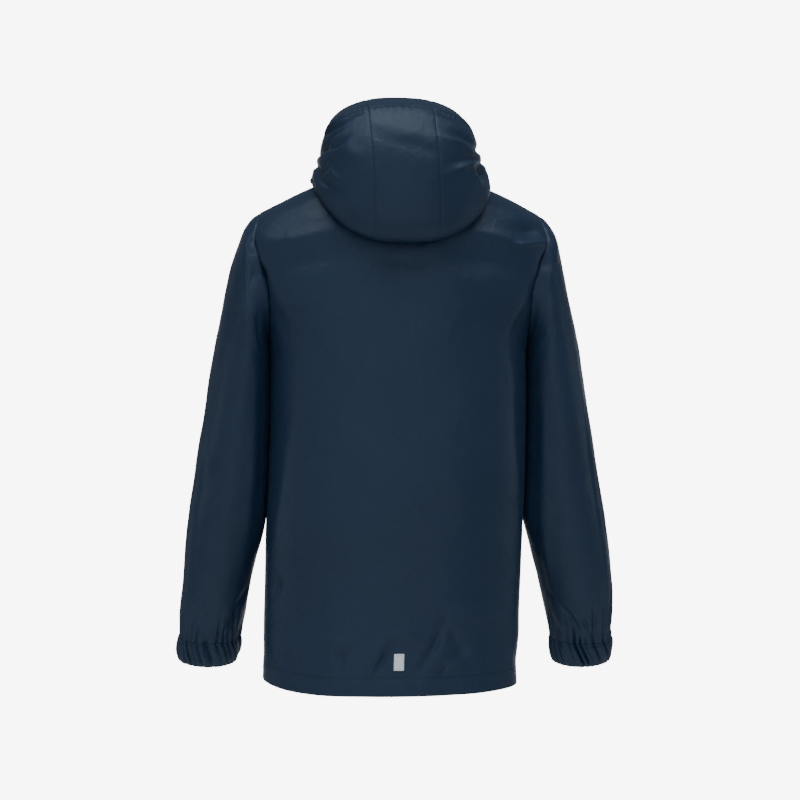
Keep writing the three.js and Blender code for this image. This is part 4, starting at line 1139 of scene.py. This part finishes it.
def zip_line(place):
    """Points up the middle of the front (0 to 2 on the body, 2 to 3 on the hood) with their
    directions up and out."""
    def line(spot):
        on_body = body(np.zeros_like(spot), np.minimum(spot, 2), -1)
        on_hood = hood(np.full_like(spot, 180), np.maximum(spot - 2, 0))
        return np.where((spot <= 2)[..., None], on_body, on_hood)
    middle = np.where(place <= 2, np.clip(place, NUDGE, EDGE_RISE),
                      np.clip(place, 2 + NUDGE, 3 - NUDGE))
    up = line(middle + NUDGE) - line(middle - NUDGE)
    up[..., 0] = 0
    up /= np.linalg.norm(up, axis=-1, keepdims=True)
    out = np.stack([np.zeros_like(place), -up[..., 2], up[..., 1]], axis=-1)
    return line(place), up, out


def even_places(start, end, step):
    """Places up the zip that are an even length of tape apart."""
    fine = np.linspace(start, end, 3000)
    length = running_length(zip_line(fine)[0], 0)
    count = int(length[-1] / step)
    return np.interp(np.linspace(0, length[-1], count + 1), length, fine), length[-1]


tape_places, tape_length = even_places(rise_at(TAPE["start"]), TAPE["end"], 4.0)
print("zip tape length, mm:", round(float(tape_length)))

# %% The tapes
tapes = {}
for name, hand in SIDES.items():
    middle, up, out = zip_line(tape_places)
    x = hand * np.linspace(TAPE["parting"], TAPE["half_width"], 9)
    drop = TAPE["face"] - x ** 2 / TAPE["curve"]
    points = middle[:, None] + out[:, None] * drop[None, :, None]
    points[..., 0] += x[None, :]
    normals = np.broadcast_to(out[:, None], points.shape)
    tapes[name] = cloth_object(f"zip_tape_cloth_{name}", points, normals, TAPE_CLOTH, TAPE_CLOTH,
                               thickness=TAPE["thickness"])

# %% The coils
COIL = {"pitch": 1.7, "reach": 1.35, "overlap": 0.15, "height": 0.62, "wire": 0.36,
        "turn_points": 8, "sides": 5}


def tube(path, sideways, radius, sides):
    """A round tube along a path: at each point, a circle in the plane square to the path."""
    forward = np.gradient(path, axis=0)
    forward /= np.linalg.norm(forward, axis=-1, keepdims=True)
    first = np.cross(forward, sideways)
    first /= np.linalg.norm(first, axis=-1, keepdims=True)
    second = np.cross(forward, first)
    angle = np.linspace(0, 2 * np.pi, sides, endpoint=False)
    rings = (path[:, None] + radius * (np.cos(angle)[None, :, None] * first[:, None]
                                       + np.sin(angle)[None, :, None] * second[:, None]))
    faces = grid_faces(len(path), sides, True)
    return rings.reshape(-1, 3), faces[:, ::-1]


def capped(points, faces, sides):
    """Closes both ends of a tube with a fan of triangles round a middle point."""
    count = len(points)
    ends = np.stack([points[:sides].mean(axis=0), points[-sides:].mean(axis=0)])
    i = np.arange(sides)
    after = (i + 1) % sides
    start = np.stack([i, after, np.full(sides, count)], axis=-1)
    end = np.stack([count - sides + after, count - sides + i, np.full(sides, count + 1)], axis=-1)
    return np.concatenate([points, ends]), faces.tolist() + start.tolist() + end.tolist()


chain_places, _ = even_places(rise_at(CHAIN["start"]), CHAIN["end"],
                              COIL["pitch"] / COIL["turn_points"])
coil_points, coil_faces = [], []
for hand in SIDES.values():
    middle, up, out = zip_line(chain_places)
    turn = 2 * np.pi * np.arange(len(chain_places)) / COIL["turn_points"] + (hand < 0) * np.pi
    aside = hand * (COIL["reach"] - COIL["overlap"] - COIL["reach"] * np.cos(turn))
    path = middle + out * (CHAIN["height"] + COIL["height"] * np.sin(turn))[:, None]
    path[:, 0] += aside
    points, faces = capped(*tube(path, up, COIL["wire"], COIL["sides"]), COIL["sides"])
    start = sum(len(p) for p in coil_points)
    coil_points.append(points)
    coil_faces += [[start + corner for corner in face] for face in faces]


coils = mesh_object("zip_coils", np.concatenate(coil_points), coil_faces)
print("coil loops on each side:", len(chain_places) // COIL["turn_points"])

# %% [markdown]
# The slider, its pull tab and the box at the foot of the zip are the only hard pieces. Their solids
# already have the right form, but perfectly sharp edges look like paper, because every real edge
# catches a thin line of light. A copy of each is merged into one skin, its flat faces are joined,
# and a Bevel modifier rounds its edges.

# %% Hard pieces with rounded edges
import bmesh


HARD_SHADE = {"lighter": 1.35, "patches": 240.0}
HARD_GRAIN = {"size": 900.0, "ridges": 0.1, "depth": 0.02, "gloss": 0.2}


def hard_material(name, colour, roughness, metallic, coat):
    """Enamel or moulded plastic: a little uneven in shade and gloss, with a fine surface."""
    light = [HARD_SHADE["lighter"] * c for c in colour]
    material, tree, shader, where = shaded_material(name, colour, light, HARD_SHADE["patches"])
    grain = place_crumple(tree, where, HARD_GRAIN["size"], HARD_GRAIN["ridges"])
    vary_gloss(tree, shader, grain.outputs["Mask"], roughness, HARD_GRAIN["gloss"])
    fine = relief(tree, grain.outputs["Height"], HARD_GRAIN["depth"])
    tree.links.new(fine, shader.inputs["Normal"])
    shader.inputs["Metallic"].default_value = metallic
    shader.inputs["Coat Weight"].default_value = coat
    return material


ENAMEL = hard_material("dark enamel", (0.030, 0.035, 0.045), 0.35, 0.75, 0.3)
COIL_PLASTIC = hard_material("coil plastic", (0.011, 0.018, 0.032), 0.38, 0.0, 0.0)
coils.data.materials.append(COIL_PLASTIC)


def rounded_copy(name, node, finish, width):
    """A merged copy of a solid, its edges rounded by a width in millimetres."""
    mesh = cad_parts[node].data.copy()
    skin = bmesh.new()
    skin.from_mesh(mesh)
    bmesh.ops.remove_doubles(skin, verts=skin.verts, dist=0.001 * MM)
    bmesh.ops.dissolve_limit(skin, angle_limit=np.radians(1), verts=skin.verts,
                             edges=skin.edges)
    skin.to_mesh(mesh)
    skin.free()
    mesh.name = name
    mesh.materials.clear()
    mesh.materials.append(finish)
    mesh.polygons.foreach_set("use_smooth", np.ones(len(mesh.polygons), bool))
    thing = in_scene(name, mesh)
    round_edges(thing, width, 3, 40).harden_normals = True
    print(name, "faces before rounding:", len(mesh.polygons))
    return thing


slider = rounded_copy("slider_body", "zip_slider", ENAMEL, 0.35)
pull = rounded_copy("slider_pull", "zip_pull", ENAMEL, 0.3)
zip_foot = rounded_copy("zip_foot", "zip_box", COIL_PLASTIC, 0.35)

# %% [markdown]
# A small pale tab of reflective cloth is sewn on above the hem. It follows the back's own points,
# moved out by its thickness, so it lies on the cloth with its creases. It carries no print here.

# %% The reflective tab
TAB = {"width": 12, "height": 20, "thickness": 0.8, "x": -1.6, "z": -589.5, "rows": 21,
       "columns": 13}
TAB_GROOVE = {"depth": 0.3, "inside": 0.1, "width": 0.035, "taller": 1.6}
up_share = np.linspace(-0.5, 0.5, TAB["rows"])[:, None]
across_share = np.linspace(-0.5, 0.5, TAB["columns"])[None, :]
tab_rise = rise_at(TAB["z"] + up_share * TAB["height"])
tab_share = (TAB["x"] + across_share * TAB["width"]) / half_width(tab_rise)
tab_share, tab_rise = np.broadcast_arrays(tab_share, tab_rise)
tab_points, tab_out = body_grid(tab_share, tab_rise, 1)
tab_edge = np.minimum(0.5 - np.abs(across_share), (0.5 - np.abs(up_share)) * TAB_GROOVE["taller"])
tab_lift = (body_move(tab_points, 1) + SEAM_GAP + TAB["thickness"]
            - TAB_GROOVE["depth"] * bell(tab_edge - TAB_GROOVE["inside"], TAB_GROOVE["width"]))
tab_points = tab_points + tab_out * tab_lift[..., None]
tab = cloth_object("reflective_tab_cloth", tab_points, tab_out, SILVER_CLOTH, SILVER_CLOTH,
                   thickness=TAB["thickness"])

# %% [markdown]
# Lockstitch shows as a row of short threads with small gaps, each dipping into the cloth at its
# ends. They are too fine to carve into the sheets, so each stitch is a tiny tube of a few faces
# laid along a line of the sheet's own points, and one mesh holds all the stitches of a seam.

# %% Stitches
STITCH = {"pitch": 3.3, "length": 2.7, "thread": 0.2, "lift": 0.12, "points": 5, "sides": 5}


THREAD_SHADE = {"lighter": 1.4, "patches": 2200.0, "roughness": 0.75, "specular": 0.2}


def thread_material(name, colour):
    """Sewing thread: a fine twist across its length."""
    light = [THREAD_SHADE["lighter"] * c for c in colour]
    material, _, shader, _ = shaded_material(name, colour, light, THREAD_SHADE["patches"])
    shader.inputs["Roughness"].default_value = THREAD_SHADE["roughness"]
    shader.inputs["Specular IOR Level"].default_value = THREAD_SHADE["specular"]
    return material


THREAD = thread_material("navy thread", (0.0070, 0.0165, 0.0350))
PALE_THREAD = thread_material("pale thread", (0.42, 0.48, 0.55))


def stitch_line(name, lines, finish, pitch=STITCH["pitch"], length=STITCH["length"]):
    """Rows of stitches: each is a thin tube along its line whose middle is lifted by half a
    sine wave. Lines are pairs of points and outward directions."""
    ring = np.linspace(0, 2 * np.pi, STITCH["sides"], endpoint=False)
    share = np.linspace(0, 1, STITCH["points"])
    tubes = []
    for points, out in lines:
        run = running_length(points, 0)
        starts = np.arange(0.5 * pitch, run[-1] - pitch, pitch)
        spots = starts[:, None] + length * share[None, :]
        centre = np.stack([np.interp(spots, run, points[:, i]) for i in range(3)], axis=-1)
        lift = np.stack([np.interp(spots, run, out[:, i]) for i in range(3)], axis=-1)
        height = STITCH["thread"] * 0.4 + STITCH["lift"] * np.sin(np.pi * share)
        centre = centre + lift * height[None, :, None]
        forward = centre[:, -1:] - centre[:, :1]
        forward = forward / np.linalg.norm(forward, axis=-1, keepdims=True)
        aside = np.cross(forward, lift)
        radius = STITCH["thread"] * np.sin(np.pi * (0.12 + 0.76 * share)) ** 0.5
        tubes.append(centre[:, :, None] + radius[None, :, None, None] * (
            np.cos(ring)[None, None, :, None] * aside[:, :, None]
            + np.sin(ring)[None, None, :, None] * lift[:, :, None]))
    rings = np.concatenate(tubes)
    one = grid_faces(STITCH["points"], STITCH["sides"], True)
    size = STITCH["points"] * STITCH["sides"]
    shift = np.arange(len(rings))[:, None] * size
    sides = (shift[:, :, None] + one[None]).reshape(-1, 4)
    cap = np.arange(STITCH["sides"])
    caps = np.concatenate([shift + cap[::-1], shift + size - STITCH["sides"] + cap])
    thing = mesh_object(name, rings.reshape(-1, 3), sides.tolist() + caps.tolist())
    thing.data.materials.append(finish)
    print(name, "stitches:", len(rings))
    return thing


HEM_LINE = 9
EDGE_LINE = 3
TUNNEL_LINE = 111
CUFF_LINE = 3
TAB_BORDER = np.s_[2, 1:-1], np.s_[-3, 1:-1], np.s_[2:-2, 1], np.s_[2:-2, -2]
TAB_STITCH = {"pitch": 1.6, "length": 1.3}


def line_of(grid, place):
    """A row or column of a grid: its points and its outward directions."""
    points, out = grid
    return points[place], out[place]


hem_stitches = stitch_line("hem_stitches", [
    line_of(grid, HEM_LINE) for grid in (back_grid, *front_grids.values())], THREAD)
zip_stitches = stitch_line("zip_stitches", [
    line_of(grid, np.s_[:, EDGE_LINE]) for grid in front_grids.values()] + [
    line_of(hood_grids[name], np.s_[:, -EDGE_LINE - 1]) for name in SIDES], THREAD)
tunnel_stitches = stitch_line("hood_stitches", [
    line_of(grid, TUNNEL_LINE) for grid in hood_grids.values()], THREAD)
cuff_stitches = stitch_line("cuff_stitches", [
    line_of(grid, CUFF_LINE) for grid in cuff_grids.values()], THREAD)
tab_stitches = stitch_line("tab_stitches", [
    line_of((tab_points, tab_out), side) for side in TAB_BORDER], PALE_THREAD,
    TAB_STITCH["pitch"], TAB_STITCH["length"])

# %% [markdown]
# Each piece now says which solids it stands for, which are then hidden, and which body it moves
# with. The pull tab is the only piece that moves: it hangs on the slider and swings.

# %% What stands for what
def declare(piece, finish_slot, *solids, moves_with="jacket"):
    """The body a piece moves with and the solids it stands for, which are hidden. The finish slot
    is not used.
    """
    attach(piece, moves_with)
    if solids:
        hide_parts(*solids)
    print(f"{piece.name}: moves with {moves_with}, stands for", *solids or ("nothing",))


declare(back, "shell_cloth", "back")
for kind, parts in (("front", fronts), ("sleeve", sleeves), ("cuff", cuffs),
                    ("hood", hood_parts)):
    for name, piece in parts.items():
        declare(piece, "shell_cloth", f"{kind}_{name}")
for name, piece in tapes.items():
    declare(piece, "zip_tape", f"zip_tape_{name}")
declare(coils, "zip_coil", "zip_chain")
declare(zip_foot, "zip_coil", "zip_box")
declare(slider, "slider_metal", "zip_slider")
declare(pull, "slider_metal", "zip_pull", moves_with="pull_tab")
declare(tab, "reflective_cloth", "reflective_tab")
for piece in (hem_stitches, zip_stitches, tunnel_stitches, cuff_stitches):
    declare(piece, "shell_cloth")
declare(tab_stitches, "reflective_cloth")

# %% [markdown]
# Cloth keeps its area, so the area that each sheet shows is worked out and printed. The real
# pieces are cut larger, with 10 mm for each seam and the turned hems.

# %% Area that each sheet shows
def area_of(points, closed=False):
    """Area of a grid in square metres, as the sum of its cells' two triangles."""
    ring = np.concatenate([points, points[:, :1]], axis=1) if closed else points
    a, b, c, d = ring[:-1, :-1], ring[:-1, 1:], ring[1:, 1:], ring[1:, :-1]
    size = np.linalg.norm(np.cross(b - a, c - a), axis=-1) + np.linalg.norm(
        np.cross(c - a, d - a), axis=-1)
    return float(size.sum() / 2 * MM ** 2)


for kind, grids, closed in (
        ("back", {"panel": back_grid}, False), ("front", front_grids, False),
        ("sleeve", sleeve_grids, True), ("cuff", cuff_grids, True), ("hood", hood_grids, False)):
    for name, (points, _) in grids.items():
        print(f"{kind} {name}: {area_of(points, closed):.4f} square metres shown")

# %% [markdown]
# The camera stands straight behind the jacket, a little to one side, at half its height. The
# photograph's outline gives its distance: the nearer back looks slightly larger than the sides.

# %% Camera
DISTANCE = 2.6
HALF_VIEW = 0.5
SENSOR = 36
AZIMUTH = np.radians(175)
TARGET = np.array([-0.00625, 0, -0.275])
camera_data = bpy.data.cameras.new("camera")
camera_data.sensor_width = SENSOR
camera_data.lens = SENSOR / 2 * DISTANCE / HALF_VIEW
camera = in_scene("camera", camera_data)
camera.location = TARGET + DISTANCE * np.array([np.sin(AZIMUTH), -np.cos(AZIMUTH), 0])
camera.rotation_euler = (np.pi / 2, 0, AZIMUTH)
bpy.context.scene.camera = camera
print("lens, mm:", round(camera_data.lens, 1))

# %% [markdown]
# Coated cloth mirrors, dimly, whatever it faces, so the lamps are placed by what each part of the
# jacket should mirror. A weak, wide panel behind the camera gives the upright back its even shade,
# weaker panels at its sides carry that on round the jacket, and the lamp overhead gives the
# shoulders and the top of the hood their shine. Cloth that faces the gap between them, as just
# under the hood, stays dark. Narrow side lamps draw the thin bright lines along the sleeves. A lamp
# in front and two fill lights, which aren't mirrored, lift the rest.

# %% Light and floor
from mathutils import Vector

LAMP_COLOUR = (0.84, 0.94, 1)


def lamp(name, place, aim, size, power, reflected=True):
    """A soft rectangular lamp at a place, turned towards a point, and out of sight itself."""
    data = bpy.data.lights.new(name, "AREA")
    data.shape = "RECTANGLE"
    data.size, data.size_y = size
    data.energy = power
    data.color = LAMP_COLOUR
    thing = in_scene(name, data)
    thing.location = place
    thing.rotation_euler = (Vector(aim) - Vector(place)).to_track_quat("-Z", "Y").to_euler()
    thing.visible_camera = False
    thing.visible_glossy = reflected


MIDDLE = (0, 0, -0.25)
lamp("lamp overhead", (0.1, 1.1, 3.1), (0, 0, -0.2), (3.8, 2.0), 82)
lamp("panel behind camera", (0.3, 3.1, -0.32), MIDDLE, (3.0, 1.1), 10)
lamp("panel left of camera", (2.55, 1.4, -0.15), MIDDLE, (2.0, 1.1), 4.5)
lamp("panel right of camera", (-2.55, 1.4, 0.0), MIDDLE, (2.0, 1.0), 1.6)
lamp("lamp left side", (0.95, -0.15, -0.38), (0.25, 0, -0.38), (0.03, 0.5), 0.35)
lamp("lamp right side", (-0.95, -0.12, -0.3), (-0.25, 0, -0.3), (0.03, 0.5), 0.35)
lamp("lamp front", (-0.4, -2.6, -0.3), MIDDLE, (2.6, 1.6), 11)
lamp("fill in front", (-0.4, -2.6, 0.2), MIDDLE, (2.0, 1.6), 15, reflected=False)
lamp("fill over camera", (0.2, 2.5, 0.9), MIDDLE, (2.0, 1.4), 15, reflected=False)

ROOM_SHOWN = 8.0
ROOM_LIGHT = 0.16
world = bpy.data.worlds.new("pale room")
bpy.context.scene.world = world
world.use_nodes = True
room = world.node_tree
shown = room.nodes["Background"]
shown.inputs["Color"].default_value = (1, 1, 1, 1)
shown.inputs["Strength"].default_value = ROOM_SHOWN
lighting = room.nodes.new("ShaderNodeBackground")
lighting.inputs["Color"].default_value = (0.92, 0.96, 1, 1)
lighting.inputs["Strength"].default_value = ROOM_LIGHT
ray = room.nodes.new("ShaderNodeLightPath")
either = room.nodes.new("ShaderNodeMixShader")
room.links.new(ray.outputs["Is Camera Ray"], either.inputs[0])
room.links.new(lighting.outputs[0], either.inputs[1])
room.links.new(shown.outputs[0], either.inputs[2])
room.links.new(either.outputs[0], room.nodes["World Output"].inputs["Surface"])

FLOOR_Z = -1170
FLOOR_RADIUS = 1900
FLOOR_MIDDLE = 60
FLOOR_RINGS = 24
FLOOR_CORNERS = 96
FLOOR_GLOW = 0.9
FLOOR_SHADES = (0.80, 0.80, 0.80), (0.84, 0.84, 0.84)
FLOOR_PATCHES = 2.0
FLOOR_ROUGHNESS = 0.9
radius, angle = np.meshgrid(np.linspace(FLOOR_MIDDLE, FLOOR_RADIUS, FLOOR_RINGS),
                            np.linspace(0, 2 * np.pi, FLOOR_CORNERS, endpoint=False),
                            indexing="ij")
floor_points = np.stack([radius * np.cos(angle), radius * np.sin(angle),
                         np.full_like(radius, FLOOR_Z)], axis=-1)
floor_rings = grid_faces(FLOOR_RINGS, FLOOR_CORNERS, True)[:, ::-1]
floor_faces = floor_rings.tolist() + [list(range(FLOOR_CORNERS))]
floor = mesh_object("floor", floor_points, floor_faces)
floor_finish, floor_tree, floor_shader, _ = shaded_material(
    "pale floor", FLOOR_SHADES[0], FLOOR_SHADES[1], FLOOR_PATCHES)
floor_shader.inputs["Roughness"].default_value = FLOOR_ROUGHNESS
floor_shader.inputs["Emission Color"].default_value = (1, 1, 1, 1)
floor_seen = floor_tree.nodes.new("ShaderNodeLightPath")
floor_tree.links.new(
    math(floor_tree, "MULTIPLY", floor_seen.outputs["Is Camera Ray"], FLOOR_GLOW),
    floor_shader.inputs["Emission Strength"])
floor.data.materials.append(floor_finish)
